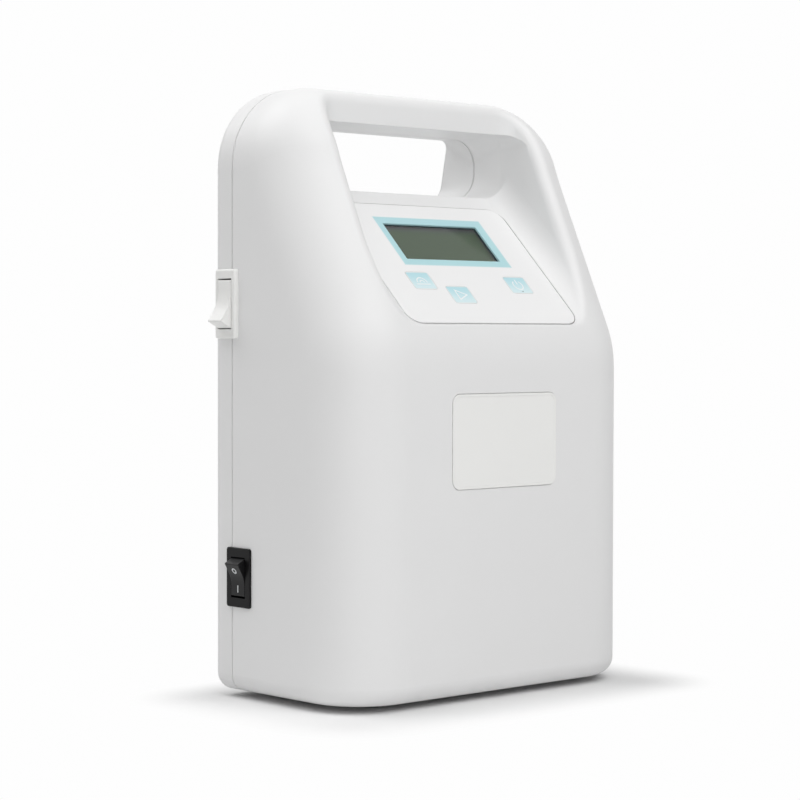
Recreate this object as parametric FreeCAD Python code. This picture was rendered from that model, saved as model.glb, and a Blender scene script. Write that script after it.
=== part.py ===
"""Compression therapy pump: a moulded carry case with a sloped control panel, two rocker switches and two
hose sockets, and the air pump, valves and boards that it holds.

Millimetres. X points right as seen from the front, Y to the rear and Z up. The origin lies on the floor,
under the middle of the case. Each piece is written to parts/ as one STEP file."""
import FreeCAD, Part
import os
from math import asin, cos, degrees, radians, sin, sqrt, tan

V = FreeCAD.Vector
X = V(1, 0, 0)
Y = V(0, 1, 0)
Z = V(0, 0, 1)

# ---------------------------------------------------------------- case
CASE_W = 193.5
CASE_D = 102.0
CASE_H = 292.5
FOOT_H = 3.0
WALL = 2.6
SHOULDER_R = 39.5
FRONT_R = 33.0
BASE_R = 8.5
REAR_R = 6.0
BEND_Z = 170.2
BEND_R = 60.0
SLOPE_DEG = 24.7
REAR_COVER_D = 15.1
SEAM_GROOVE_W = 0.7
SEAM_GROOVE_D = 0.5

# ---------------------------------------------------------------- sloped recess and hand opening
PANEL_TILT_DEG = 45.2
PANEL_Y = 2.25
PANEL_Z = 227.45
RECESS_HALF_W = 66.0
RECESS_R = 12.0
RIDGE_R = 5.0
BAR_FRONT_Y = 10.5
GRIP_FLOOR_Z = 243.8
MOUTH_TOP_Z = 275.8
MOUTH_TOP_R = 6.0
SEAM_GRIP_TOP_Z = 274.7
SEAM_GRIP_HALF_W = 63.2
SEAM_GRIP_R = 14.0
REAR_GRIP_TOP_Z = 275.4
REAR_GRIP_TOP_HALF_W = 58.4
REAR_GRIP_FLOOR_HALF_W = 52.6
REAR_GRIP_R = 4.0
REAR_GRIP_FLOOR_R = 9.0

# ---------------------------------------------------------------- control panel, in its own plane
PLATE_W = 113.2
PLATE_TOP_V = 14.0
PLATE_FLOOR_V = -68.3
PLATE_R = 8.0
PLATE_PROUD = 0.4
PLATE_SEAT = 1.6
PLATE_GAP = 0.5
WINDOW_W = 62.6
WINDOW_H = 25.0
WINDOW_LIP = 1.6
LENS_T = 0.7
CIRCUIT_T = 0.4
KEY_W = 14.6
KEY_H = 11.6
KEY_R = 2.0
KEY_T = 0.7
KEY_TRAVEL = 0.4
KEY_GAP = 0.15
KEYS = {"key_left": (-31.9, -40.0), "key_middle": (-11.8, -49.3), "key_right": (31.9, -41.8)}
DOME_R = 4.0
DOME_H = 0.35

# ---------------------------------------------------------------- display and control board
GLASS_T = 2.7
GLASS_MARGIN = 2.0
GLASS_GAP = 0.2
BEZEL_MARGIN = 2.6
BEZEL_T = 5.1
DISPLAY_BOARD_W = 87.0
DISPLAY_BOARD_H = 60.0
BOARD_T = 1.6
DISPLAY_HOLE_INSET = 3.0
CONTROL_BOARD_W = 104.0
CONTROL_BOARD_H = 74.0
CONTROL_BOARD_TOP_V = 12.0
CONTROL_BOARD_DEPTH = 18.4
BOARD_HOLE_INSET = 4.0
BOARD_POST_R = 3.6
BOARD_PILOT_R = 1.3
BUZZER_R = 6.0
BUZZER_H = 7.0
BUZZER_HOLE_R = 1.0
BUZZER_INSET = 18.0
CHIPS = {
    "processor": {"x": 0.0, "rise": 38.0, "w": 14.0, "h": 14.0, "t": 1.6},
    "memory": {"x": -24.0, "rise": 40.0, "w": 8.0, "h": 10.0, "t": 1.5},
    "driver": {"x": 26.0, "rise": 36.0, "w": 7.0, "h": 10.0, "t": 1.5},
    "amplifier": {"x": -22.0, "rise": 20.0, "w": 10.0, "h": 6.0, "t": 1.5},
    "regulator": {"x": 20.0, "rise": 20.0, "w": 12.0, "h": 8.0, "t": 3.0},
    "connector": {"x": 0.0, "rise": 56.0, "w": 20.0, "h": 5.0, "t": 5.0},
}
HEADER_MARGIN = 2.0
HEADER_RISE = 4.0
HEADER_W = 6.0
HEADER_T = 6.0

# ---------------------------------------------------------------- label place
LABEL_W = 69.2
LABEL_H = 44.7
LABEL_Z = 123.65
LABEL_R = 4.5
LABEL_T = 0.9
LABEL_PROUD = 0.3
LABEL_GAP = 0.2

# ---------------------------------------------------------------- rocker switches on the left side
PIN_CLEARANCE = 0.05
POWER_SWITCH = {
    "from_rear": 20.8, "z": 58.3, "frame_w": 17.6, "frame_h": 28.3, "frame_r": 1.2, "frame_edge": 0.4,
    "proud": 1.1, "body_w": 14.2, "body_h": 25.0, "depth": 20.0, "rocker_w": 9.9, "tip_v": 8.1,
    "tip_n": 3.9, "valley_n": 1.75, "valley_r": 12.0, "base_v": 9.3, "base_n": -1.5, "tilt": 15.0,
    "pivot_in": 0.55, "slot_depth": 8.5,
}
SIDE_SWITCH = {
    "from_rear": 12.3, "z": 188.35, "frame_w": 15.1, "frame_h": 33.0, "frame_r": 1.3, "frame_edge": 1.1,
    "proud": 2.5, "body_w": 12.6, "body_h": 28.4, "depth": 18.0, "rocker_w": 9.9, "tip_v": 10.3,
    "tip_n": 5.2, "valley_n": 2.0, "valley_r": 19.0, "base_v": 11.6, "base_n": -1.6, "tilt": -17.5,
    "pivot_in": -0.65, "slot_depth": 9.5,
}
ROCKER_SIDE_GAP = 0.3
ROCKER_PIN_R = 1.0
ROCKER_PIN_L = 1.2
ROCKER_TIP_R = 0.6
CUTOUT_GAP = 0.2
TAB_W = 4.8
TAB_T = 0.8
TAB_L = 8.0

# ---------------------------------------------------------------- fasteners
CASE_BOSS_INSET = 13.75
CASE_BOSS_ZS = (18.0, 88.0, 236.0)
CASE_BOSS_R = 4.2
CASE_BOSS_L = 24.0
CASE_BOSS_RIB_T = 2.4
CASE_SCREW_R = 1.7
CASE_SCREW_L = 18.0
CASE_HEAD_R = 3.6
CASE_HEAD_H = 2.4
CASE_HEAD_SINK = 5.8
SCREW_GAP = 0.1
SMALL_SCREW_R = 1.4
SMALL_HEAD_R = 2.6
SMALL_HEAD_H = 1.8
SMALL_SCREW_L = 6.0

# ---------------------------------------------------------------- feet
FOOT_R = 7.5
FOOT_SIDE_INSET = 36.75
FOOT_FRONT_INSET = 28.0
FOOT_REAR_INSET = 26.0
FOOT_STEM_R = 2.9
FOOT_BULB_R = 3.5
FOOT_BULB_H = 2.0
FOOT_EDGE = 0.6

# ---------------------------------------------------------------- mains inlet on the back
INLET_SIDE_INSET = 48.75
INLET_Z = 34.0
INLET_FLANGE_W = 49.0
INLET_FLANGE_H = 22.5
INLET_FLANGE_T = 2.8
INLET_FLANGE_R = 3.0
INLET_PROUD = 0.3
INLET_BODY_W = 27.4
INLET_BODY_H = 19.8
INLET_BODY_L = 25.0
INLET_SOCKET_W = 24.2
INLET_SOCKET_H = 16.4
INLET_SOCKET_L = 16.5
INLET_CORNER = 4.5
INLET_SCREW_PITCH = 40.0
INLET_PIN_W = 2.0
INLET_PIN_H = 4.0
INLET_PIN_PITCH = 14.0
INLET_PIN_SINK = 2.0
INLET_EARTH_RISE = 4.0

# ---------------------------------------------------------------- air intake on the back
INTAKE_X = 45.0
INTAKE_Z = 46.0
INTAKE_SLOTS = 8
INTAKE_PITCH = 6.0
INTAKE_SLOT_W = 2.4
INTAKE_SLOT_H = 28.0
FILTER_T = 4.0
FILTER_MARGIN = 3.0
FILTER_RIM_T = 1.4
FILTER_GAP = 0.3

# ---------------------------------------------------------------- hose sockets on the right side
SOCKET_REAR_INSET = 32.0
SOCKET_ZS = {"hose_socket_lower": 136.0, "hose_socket_upper": 160.0}
SOCKET_PROUD = 8.4
SOCKET_FLANGE_R = 10.0
SOCKET_FLANGE_T = 2.0
SOCKET_NOSE_R = 8.0
SOCKET_STEM_R = 6.5
SOCKET_STEM_L = 10.0
SOCKET_BORE_R = 4.6
SOCKET_BORE_L = 14.0
SOCKET_NUT_R = 9.4
SOCKET_NUT_T = 3.5
SOCKET_SEAL_T = 1.2
BARB_R = 1.55
BARB_BORE_R = 0.9
BARB_L = 7.0

# ---------------------------------------------------------------- chassis tray
TRAY_T = 1.2
TRAY_LEFT_X = -30.0
TRAY_RIGHT_X = 77.0
TRAY_FRONT_Y = -38.0
TRAY_REAR_Y = 28.0
TRAY_RISE = 4.4
TRAY_TOP_Z = 150.0
TRAY_POST_R = 4.0
TRAY_SCREW_XS = (-24.0, 74.0)
TRAY_SCREW_YS = (-15.0, 3.0)
TRAY_WINDOW_INSET = 20.0
TRAY_WINDOW_RISE = 25.0
TRAY_WINDOW_DROP = 12.0

# ---------------------------------------------------------------- linear air pump
PUMP_X = 27.0
PUMP_Y = -6.0
PUMP_MOUNT_H = 6.0
PUMP_MOUNT_R = 6.0
PUMP_MOUNT_WAIST = 1.4
PUMP_MOUNT_DX = 38.0
PUMP_MOUNT_DY = 19.0
PUMP_BASE_HALF_L = 44.0
PUMP_HALF_W = 25.0
PUMP_PLATE_T = 3.0
PUMP_AXIS_RISE = 28.8
PUMP_FRAME_HALF_L = 31.0
PUMP_FRAME_BORE_R = 14.0
PUMP_TOP_RISE = 25.0
CORE_HALF_L = 22.0
CORE_HALF_W = 16.0
CORE_YOKE_T = 5.0
CORE_LEG_W = 7.0
CORE_CENTRE_HALF = 6.0
AIR_GAP = 1.5
ARMATURE_HALF_T = 5.0
ARMATURE_HALF_L = 15.0
ARMATURE_ROD_R = 3.0
ARMATURE_DISC_R = 7.0
ARMATURE_DISC_T = 4.0
ARMATURE_DISC_GAP = 0.3
ARMATURE_TRAVEL = 2.5
COIL_GAP = 0.25
COIL_T = 6.5
DIAPHRAGM_R = 21.5
DIAPHRAGM_T = 2.5
DIAPHRAGM_WEB_T = 1.0
DIAPHRAGM_RIM_W = 4.0
HEAD_HALF = 22.0
HEAD_L = 14.5
HEAD_CHAMBER_R = 13.0
HEAD_CHAMBER_L = 9.0
HEAD_SCREW_OFFSET = 18.0
NIPPLE_R = 2.4
NIPPLE_BORE_R = 1.0
NIPPLE_L = 8.0

# ---------------------------------------------------------------- valves
MANIFOLD_LEFT_X = -28.0
MANIFOLD_RIGHT_X = 76.0
MANIFOLD_D = 16.0
MANIFOLD_H = 16.0
MANIFOLD_Z = 92.0
MANIFOLD_SCREW_XS = (-20.0, 20.0, 55.0)
GALLERY_R = 2.0
VALVE_COUNT = 3
VALVE_LEFT_X = -14.0
VALVE_PITCH = 22.0
VALVE_W = 18.0
VALVE_D = 14.0
VALVE_H = 27.0
VALVE_FRAME_T = 1.4
VALVE_SLEEVE_R = 4.4
PLUNGER_R = 3.0
PLUNGER_GAP = 0.25
PLUNGER_L = 18.0
PLUNGER_LIFT = 1.5
OUTLET_XS = {"hose_socket_lower": 58.0, "hose_socket_upper": 47.0}
HOSE_R = 3.6
HOSE_WALL = 1.1
HOSE_CORNER_SHARE = 0.45

# ---------------------------------------------------------------- mains supply board
SUPPLY_SIDE_INSET = 24.75
SUPPLY_W = 112.0
SUPPLY_FLOOR_Z = 90.0
SUPPLY_TOP_Z = 158.0
SUPPLY_POST_L = 8.4
TRANSFORMER_INSET = 24.0
TRANSFORMER_Z = 122.0
TRANSFORMER_W = 40.0
TRANSFORMER_H = 34.0
TRANSFORMER_D = 26.0
TRANSFORMER_STACK = 18.0
CAPACITOR_R = 8.0
CAPACITOR_L = 24.0
CAPACITOR_INSET = 72.0
CAPACITOR_LOW_Z = 108.0
CAPACITOR_HIGH_Z = 128.0
HEAT_SINK_INSET = 96.0
HEAT_SINK_Z = 124.0
HEAT_SINK_W = 24.0
HEAT_SINK_H = 34.0
HEAT_SINK_D = 18.0
HEAT_SINK_FINS = 5
FIN_T = 1.6
FUSE_R = 2.6
FUSE_L = 20.0
FUSE_INSET = 10.0
FUSE_DROP = 12.0
FUSE_RISE = 6.0
FUSE_CLIP_W = 5.0
TERMINAL_INSET = 16.0
TERMINAL_W = 16.0
TERMINAL_H = 9.0
TERMINAL_D = 12.0
WIRE_R = 1.2
RIBBON_W = 20.0
RIBBON_T = 1.0
RIBBON_UPPER_LEAD = 9.0
RIBBON_LOWER_LEAD = 14.0

# ---------------------------------------------------------------- worked out from the sizes above
SIDE_X = CASE_W / 2
FRONT_Y = -CASE_D / 2
REAR_Y = CASE_D / 2
SEAM_Y = REAR_Y - REAR_COVER_D
FLOOR_Z = FOOT_H + WALL
TILT = radians(PANEL_TILT_DEG)
SLOPE = radians(SLOPE_DEG)
WINDOW_V = -WINDOW_H / 2
PLATE_BACK_N = CIRCUIT_T - PLATE_SEAT
TRAY_Z = FLOOR_Z + TRAY_RISE
PUMP_Z = TRAY_Z + TRAY_T + PUMP_MOUNT_H
PUMP_AXIS_Z = PUMP_Z + PUMP_AXIS_RISE
HEAD_X = PUMP_FRAME_HALF_L + DIAPHRAGM_T
MANIFOLD_REAR_Y = TRAY_REAR_Y - TRAY_T
MANIFOLD_Y = MANIFOLD_REAR_Y - MANIFOLD_D / 2
MANIFOLD_TOP_Z = MANIFOLD_Z + MANIFOLD_H
MANIFOLD_FRONT_Y = MANIFOLD_REAR_Y - MANIFOLD_D
SUPPLY_Y = FRONT_Y + WALL + SUPPLY_POST_L
SUPPLY_BACK_Y = SUPPLY_Y + BOARD_T
SUPPLY_LEFT_X = SUPPLY_SIDE_INSET - SIDE_X
SUPPLY_RIGHT_X = SUPPLY_LEFT_X + SUPPLY_W
TRANSFORMER_X = SUPPLY_LEFT_X + TRANSFORMER_INSET
CAPACITOR_X = SUPPLY_LEFT_X + CAPACITOR_INSET
HEAT_SINK_X = SUPPLY_LEFT_X + HEAT_SINK_INSET
TERMINAL_X = SUPPLY_LEFT_X + TERMINAL_INSET
VALVE_XS = [VALVE_LEFT_X + i * VALVE_PITCH for i in range(VALVE_COUNT)]
CASE_BOSS_X = SIDE_X - CASE_BOSS_INSET
FOOT_X = SIDE_X - FOOT_SIDE_INSET
FOOT_YS = (FRONT_Y + FOOT_FRONT_INSET, REAR_Y - FOOT_REAR_INSET)
INLET_X = INLET_SIDE_INSET - SIDE_X
SOCKET_Y = REAR_Y - SOCKET_REAR_INSET


# ---------------------------------------------------------------- shapes in common use
def box(x0, x1, y0, y1, z0, z1):
    """A block between two corners."""
    return Part.makeBox(x1 - x0, y1 - y0, z1 - z0, V(x0, y0, z0))


def rod(radius, start, end):
    """A round bar from one point to another."""
    start = V(*start)
    along = V(*end) - start
    return Part.makeCylinder(radius, along.Length, start, along)


def cone(radius_a, radius_b, start, end):
    """A tapered bar from one point to another."""
    start = V(*start)
    along = V(*end) - start
    return Part.makeCone(radius_a, radius_b, along.Length, start, along)


def group(shapes):
    """Several separate solids that share one node."""
    solids = []
    for shape in shapes:
        solids += shape.Solids
    return Part.makeCompound(solids)


def one(shape):
    """The single solid of a boolean's result."""
    shape = shape.removeSplitter()
    return shape.Solids[0] if len(shape.Solids) == 1 else shape


def rounded_wire(corners):
    """A closed outline of straight runs whose corners, given as (point, radius), are tangent arcs."""
    points = [V(*point) for point, _ in corners]
    count = len(corners)
    edges = []
    starts = []
    ends = []
    arcs = []
    for i, (_, radius) in enumerate(corners):
        before = (points[i - 1] - points[i]).normalize()
        after = (points[(i + 1) % count] - points[i]).normalize()
        half = before.getAngle(after) / 2
        reach = radius / tan(half)
        inward = (before + after).normalize()
        first = points[i] + before * reach
        last = points[i] + after * reach
        middle = points[i] + inward * (radius / sin(half) - radius)
        starts.append(first)
        ends.append(last)
        arcs.append(Part.Arc(first, middle, last).toShape())
    for i in range(count):
        edges.append(arcs[i])
        edges.append(Part.LineSegment(ends[i], starts[(i + 1) % count]).toShape())
    return Part.Wire(edges)


def rounded_slab(width, height, radius, depth0, depth1, centre=(0.0, 0.0)):
    """A plate in the XY plane with round corners, from one height to another."""
    u, v = centre
    a = width / 2
    b = height / 2
    corners = [((u + i * a, v + j * b, depth0), radius) for i, j in ((-1, -1), (1, -1), (1, 1), (-1, 1))]
    return Part.Face(rounded_wire(corners)).extrude(Z * (depth1 - depth0))


def polygon_prism(points, along):
    """A flat outline of straight runs, swept along a vector."""
    return Part.Face(Part.makePolygon([V(*p) for p in points + points[:1]])).extrude(along)


def mid(edge):
    """The point half-way along an edge."""
    return edge.valueAt((edge.FirstParameter + edge.LastParameter) / 2)


def on_panel(shape):
    """Moves a shape from panel axes (right, up the slope, outward) to its place on the case."""
    shape = shape.copy()
    shape.rotate(V(0, 0, 0), X, 90 - PANEL_TILT_DEG)
    shape.translate(V(0, PANEL_Y, PANEL_Z))
    return shape


def switch_y(size):
    """Depth of a switch's middle."""
    return REAR_Y - size["from_rear"]


def on_side(shape, size):
    """Moves a shape from side axes (to the front, up, outward) to a switch's place on the left side."""
    shape = shape.copy()
    shape.rotate(V(0, 0, 0), X, 90)
    shape.rotate(V(0, 0, 0), Z, -90)
    shape.translate(V(-SIDE_X, switch_y(size), size["z"]))
    return shape


def on_back(shape, x, z, proud=0.0):
    """Moves a shape from back axes (to the left, up, outward) to its place on the back."""
    shape = shape.copy()
    shape.rotate(V(0, 0, 0), X, 90)
    shape.rotate(V(0, 0, 0), Z, 180)
    shape.translate(V(x, REAR_Y + proud, z))
    return shape


def bent_path(points):
    """Straight runs joined by tangent arcs, each as large as its two runs allow."""
    points = [V(*p) for p in points]
    edges = []
    here = points[0]
    for i in range(1, len(points) - 1):
        before = points[i - 1] - points[i]
        after = points[i + 1] - points[i]
        reach = HOSE_CORNER_SHARE * min(before.Length, after.Length)
        before.normalize()
        after.normalize()
        half = before.getAngle(after) / 2
        radius = reach * tan(half)
        first = points[i] + before * reach
        last = points[i] + after * reach
        middle = points[i] + (before + after).normalize() * (radius / sin(half) - radius)
        edges.append(Part.LineSegment(here, first).toShape())
        edges.append(Part.Arc(first, middle, last).toShape())
        here = last
    edges.append(Part.LineSegment(here, points[-1]).toShape())
    return Part.Wire(edges)


def swept(points, profile_of):
    """A solid swept along a bent path; profile_of gives the closed outline at the start."""
    path = bent_path(points)
    start = V(*points[0])
    along = (V(*points[1]) - start).normalize()
    return path.makePipeShell([profile_of(start, along)], True, False).Solids[0]


def tube(points, radius, wall):
    """A hose along a bent path."""
    def ring(size):
        return lambda start, along: Part.Wire(Part.makeCircle(size, start, along))
    return swept(points, ring(radius)).cut(swept(points, ring(radius - wall)))


def wire_run(points):
    """One insulated wire along a bent path."""
    return swept(points, lambda start, along: Part.Wire(Part.makeCircle(WIRE_R, start, along)))


# ---------------------------------------------------------------- the case's outer form
def panel_z(y, grow=0.0):
    """Height of the sloped panel face at a depth, or of that face moved inward by grow."""
    return PANEL_Z - grow * sin(TILT) + (y - PANEL_Y - grow * cos(TILT)) / tan(TILT)


def panel_y(z, grow=0.0):
    """Depth of the sloped panel face at a height, or of that face moved inward by grow."""
    return PANEL_Y + grow * cos(TILT) + (z - PANEL_Z + grow * sin(TILT)) * tan(TILT)


def envelope(inset):
    """The closed outer form, before the recess and the hand opening, moved inward by inset."""
    x = SIDE_X - inset
    y0 = FRONT_Y + inset
    y1 = REAR_Y - inset
    z0 = FOOT_H + inset
    z1 = CASE_H - inset
    shoulder = SHOULDER_R - inset
    bend_z = BEND_Z + inset * (1 - 1 / cos(SLOPE)) / tan(SLOPE)
    ridge_y = y0 + (z1 - bend_z) * tan(SLOPE)

    diagonal = shoulder * (1 - sqrt(0.5))
    runs = [
        Part.LineSegment(V(-x, y0, z0), V(x, y0, z0)),
        Part.LineSegment(V(x, y0, z0), V(x, y0, z1 - shoulder)),
        Part.Arc(V(x, y0, z1 - shoulder), V(x - diagonal, y0, z1 - diagonal), V(x - shoulder, y0, z1)),
        Part.LineSegment(V(x - shoulder, y0, z1), V(shoulder - x, y0, z1)),
        Part.Arc(V(shoulder - x, y0, z1), V(diagonal - x, y0, z1 - diagonal), V(-x, y0, z1 - shoulder)),
        Part.LineSegment(V(-x, y0, z1 - shoulder), V(-x, y0, z0)),
    ]
    arch = Part.Face(Part.Wire([run.toShape() for run in runs])).extrude(Y * (y1 - y0))

    side_view = [(-CASE_W, y0, z0), (-CASE_W, y0, bend_z), (-CASE_W, ridge_y, z1), (-CASE_W, y1, z1),
                 (-CASE_W, y1, z0)]
    wedge = polygon_prism(side_view, X * (2 * CASE_W))
    bend = [e for e in wedge.Edges if abs(mid(e).z - bend_z) < 0.01 and abs(mid(e).x) < 0.01]
    solid = arch.common(wedge.makeFillet(BEND_R - inset, bend))

    def slope_y(z):
        return y0 + max(0.0, z - bend_z) * tan(SLOPE)

    def borders_front(e):
        point = mid(e)
        across = abs(point.x) < 0.01 and point.z < z1 - 0.01
        return point.z > z0 + 0.01 and point.y < slope_y(point.z) + 2.0 and not across
    solid = solid.makeFillet(FRONT_R - inset, [e for e in solid.Edges if borders_front(e)])
    floor = [e for e in solid.Edges if e.BoundBox.ZMax < z0 + 0.01 and e.BoundBox.YMin < y1 - 0.01]
    solid = solid.makeFillet(BASE_R - inset, floor)
    rear = [e for e in solid.Edges if e.BoundBox.YMin > y1 - 0.01]
    return solid.makeFillet(REAR_R - inset, rear).Solids[0]


def recess(grow):
    """The sloped hollow between the cheeks, with round inner corners, made larger by grow."""
    half = RECESS_HALF_W + grow
    back_y = BAR_FRONT_Y + grow
    front_y = FRONT_Y - CASE_D
    top_z = CASE_H + CASE_D
    corner_z = panel_z(back_y, grow)
    side_view = [(-half, front_y, panel_z(front_y, grow)), (-half, back_y, corner_z), (-half, back_y, top_z),
                 (-half, front_y, top_z)]
    block = polygon_prism(side_view, X * (2 * half))

    def inner(e):
        point = mid(e)
        on_cheek = abs(abs(point.x) - half) < 0.01
        on_face = abs(point.z - panel_z(point.y, grow)) < 0.01 or abs(point.y - back_y) < 0.01
        corner = abs(point.x) < 0.01 and abs(point.z - corner_z) < 0.01
        flat_end = on_cheek and point.z > top_z - 0.01
        return (on_cheek and on_face and not flat_end) or corner
    return block.makeFillet(RECESS_R + grow, [e for e in block.Edges if inner(e)]).Solids[0]


def grip_outline(y, grow, floor_half, top_half, top_z, floor_r, top_r):
    """Outline of the hand opening at one depth, made larger by grow."""
    z0 = GRIP_FLOOR_Z - grow
    z1 = top_z + grow
    a = floor_half + grow
    b = top_half + grow
    return rounded_wire([((-a, y, z0), floor_r + grow), ((a, y, z0), floor_r + grow),
                         ((b, y, z1), top_r + grow), ((-b, y, z1), top_r + grow)])


def hand_opening(grow):
    """The way through for the hand: square at the mouth, nearly round-ended at the seam, tapered behind."""
    lip_y = panel_y(GRIP_FLOOR_Z - grow, grow)
    mouth = grip_outline(lip_y, grow, RECESS_HALF_W, RECESS_HALF_W, MOUTH_TOP_Z, RECESS_R, MOUTH_TOP_R)
    seam = grip_outline(SEAM_Y, grow, SEAM_GRIP_HALF_W, SEAM_GRIP_HALF_W, SEAM_GRIP_TOP_Z, SEAM_GRIP_R,
                        SEAM_GRIP_R)
    rear = grip_outline(REAR_Y, grow, REAR_GRIP_FLOOR_HALF_W, REAR_GRIP_TOP_HALF_W, REAR_GRIP_TOP_Z,
                        REAR_GRIP_FLOOR_R, REAR_GRIP_R)
    front_half = Part.makeLoft([mouth, seam], True, True)
    rear_half = Part.makeLoft([seam, rear], True, True)
    approach = Part.Face(mouth).extrude(Y * (BAR_FRONT_Y - 2 * RECESS_R - lip_y))
    beyond = Part.Face(rear).extrude(Y * WALL)
    return approach.fuse([front_half, rear_half, beyond]).fuse(lip_cut(grow))


def lip_cut(grow):
    """Carries the sloped panel face up to the hand opening's floor."""
    floor_z = GRIP_FLOOR_Z - grow
    top_z = floor_z + RECESS_R
    front_y = BAR_FRONT_Y - RECESS_R
    half = RECESS_HALF_W + grow
    side_view = [(-half, front_y, panel_z(front_y, grow)), (-half, panel_y(floor_z, grow), floor_z),
                 (-half, panel_y(floor_z, grow), top_z), (-half, front_y, top_z)]
    block = polygon_prism(side_view, X * (2 * half))
    edges = [e for e in block.Edges if abs(mid(e).z - panel_z(mid(e).y, grow)) < 0.01 and abs(mid(e).x) > 1.0]
    return block.makeFillet(RECESS_R + grow, edges)


def case_form(inset):
    """The case's closed form with its recess and hand opening, moved inward by inset."""
    solid = envelope(inset)
    hollow = recess(inset)
    if inset:
        return solid.cut(hollow).cut(hand_opening(inset))
    skin = solid.Shells[0]
    hollow_skin = hollow.Shells[0]
    solid = solid.cut(hollow).Solids[0]

    def on_ridge(e):
        point = mid(e)
        corner = Part.Vertex(point)
        high = point.z > PANEL_Z - (PANEL_Z - BEND_Z) / 2
        return high and skin.distToShape(corner)[0] < 0.001 and hollow_skin.distToShape(corner)[0] < 0.001
    solid = solid.makeFillet(RIDGE_R, [e for e in solid.Edges if on_ridge(e)])
    return solid.cut(hand_opening(inset))


# ---------------------------------------------------------------- casing halves
def case_screw_places():
    return [(side * CASE_BOSS_X, z) for side in (-1, 1) for z in CASE_BOSS_ZS]


def front_bosses():
    """Long screw bosses in the front half, each tied to its side wall by a rib."""
    bosses = []
    for x, z in case_screw_places():
        wall_x = (SIDE_X - WALL / 2) * (1 if x > 0 else -1)
        boss = rod(CASE_BOSS_R, (x, SEAM_Y - CASE_BOSS_L, z), (x, SEAM_Y, z))
        rib = box(min(x, wall_x), max(x, wall_x), SEAM_Y - CASE_BOSS_L, SEAM_Y,
                  z - CASE_BOSS_RIB_T / 2, z + CASE_BOSS_RIB_T / 2)
        bosses.append(boss.fuse(rib))
    return bosses


def supply_post_places():
    inset = BOARD_HOLE_INSET
    return [(x, z) for x in (SUPPLY_LEFT_X + inset, SUPPLY_RIGHT_X - inset)
            for z in (SUPPLY_FLOOR_Z + inset, SUPPLY_TOP_Z - inset)]


def control_post_places():
    u = CONTROL_BOARD_W / 2 - BOARD_HOLE_INSET
    top = CONTROL_BOARD_TOP_V - BOARD_HOLE_INSET
    low = CONTROL_BOARD_TOP_V - CONTROL_BOARD_H + BOARD_HOLE_INSET
    return [(side * u, v) for side in (-1, 1) for v in (low, top)]


def display_post_places():
    u = DISPLAY_BOARD_W / 2 - DISPLAY_HOLE_INSET
    v = DISPLAY_BOARD_H / 2 - DISPLAY_HOLE_INSET
    return [(i * u, WINDOW_V + j * v) for i in (-1, 1) for j in (-1, 1)]


def board_posts():
    """Posts on the inner faces that carry the three boards."""
    posts = []
    for x, z in supply_post_places():
        posts.append(rod(BOARD_POST_R, (x, FRONT_Y + WALL / 2, z), (x, SUPPLY_Y, z)))
    for u, v in control_post_places():
        posts.append(on_panel(rod(BOARD_POST_R, (u, v, -(WALL + PLATE_SEAT) / 2),
                                  (u, v, -CONTROL_BOARD_DEPTH))))
    for u, v in display_post_places():
        posts.append(on_panel(rod(BOARD_POST_R - 1, (u, v, -(WALL + PLATE_SEAT) / 2), (u, v, bezel_back()))))
    return posts


def tray_posts():
    """Short posts on the case's floor that carry the tray."""
    return [rod(TRAY_POST_R, (x, y, FOOT_H + WALL / 2), (x, y, TRAY_Z))
            for x in TRAY_SCREW_XS for y in TRAY_SCREW_YS]


def bezel_back():
    """Distance of the display bezel's back from the panel face, negative inward."""
    return -WALL - GLASS_GAP - BEZEL_T


def pilot_holes():
    """Holes that the board and tray screws bite into."""
    holes = []
    deep = SMALL_SCREW_L
    radius = SMALL_SCREW_R + SCREW_GAP / 2
    for x, z in supply_post_places():
        holes.append(rod(radius, (x, SUPPLY_Y - deep, z), (x, SUPPLY_Y + 1, z)))
    for u, v in control_post_places():
        holes.append(on_panel(rod(radius, (u, v, deep - CONTROL_BOARD_DEPTH),
                                  (u, v, -CONTROL_BOARD_DEPTH - 1))))
    for u, v in display_post_places():
        holes.append(on_panel(rod(BOARD_PILOT_R, (u, v, bezel_back() + BEZEL_T / 2),
                                  (u, v, bezel_back() - 1))))
    for x in TRAY_SCREW_XS:
        for y in TRAY_SCREW_YS:
            holes.append(rod(radius, (x, y, TRAY_Z - deep + 1), (x, y, TRAY_Z + 1)))
    return holes


def panel_seat():
    """The shallow seat for the control panel and the openings behind it."""
    width = PLATE_W + 2 * PLATE_GAP
    height = PLATE_TOP_V - PLATE_FLOOR_V + 2 * PLATE_GAP
    centre = (0.0, (PLATE_TOP_V + PLATE_FLOOR_V) / 2)
    seat = rounded_slab(width, height, PLATE_R + PLATE_GAP, -PLATE_SEAT, RECESS_R, centre)
    glass_w = WINDOW_W + 2 * (GLASS_MARGIN + GLASS_GAP)
    glass_h = WINDOW_H + 2 * (GLASS_MARGIN + GLASS_GAP)
    opening = rounded_slab(glass_w, glass_h, 1.0, -2 * WALL, 0, (0.0, WINDOW_V))
    return [on_panel(seat), on_panel(opening)]


def label_seat():
    depth = LABEL_T - LABEL_PROUD
    slab = rounded_slab(LABEL_W + 2 * LABEL_GAP, LABEL_H + 2 * LABEL_GAP, LABEL_R + LABEL_GAP, 0, depth + 1)
    slab.rotate(V(0, 0, 0), X, 90)
    slab.translate(V(0, FRONT_Y + depth, LABEL_Z))
    return slab


def switch_cutout(size):
    """The square hole that a rocker switch clips into."""
    width = size["body_w"] + 2 * CUTOUT_GAP
    height = size["body_h"] + 2 * CUTOUT_GAP
    return on_side(rounded_slab(width, height, 0.5, -2 * WALL, WALL), size)


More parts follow.
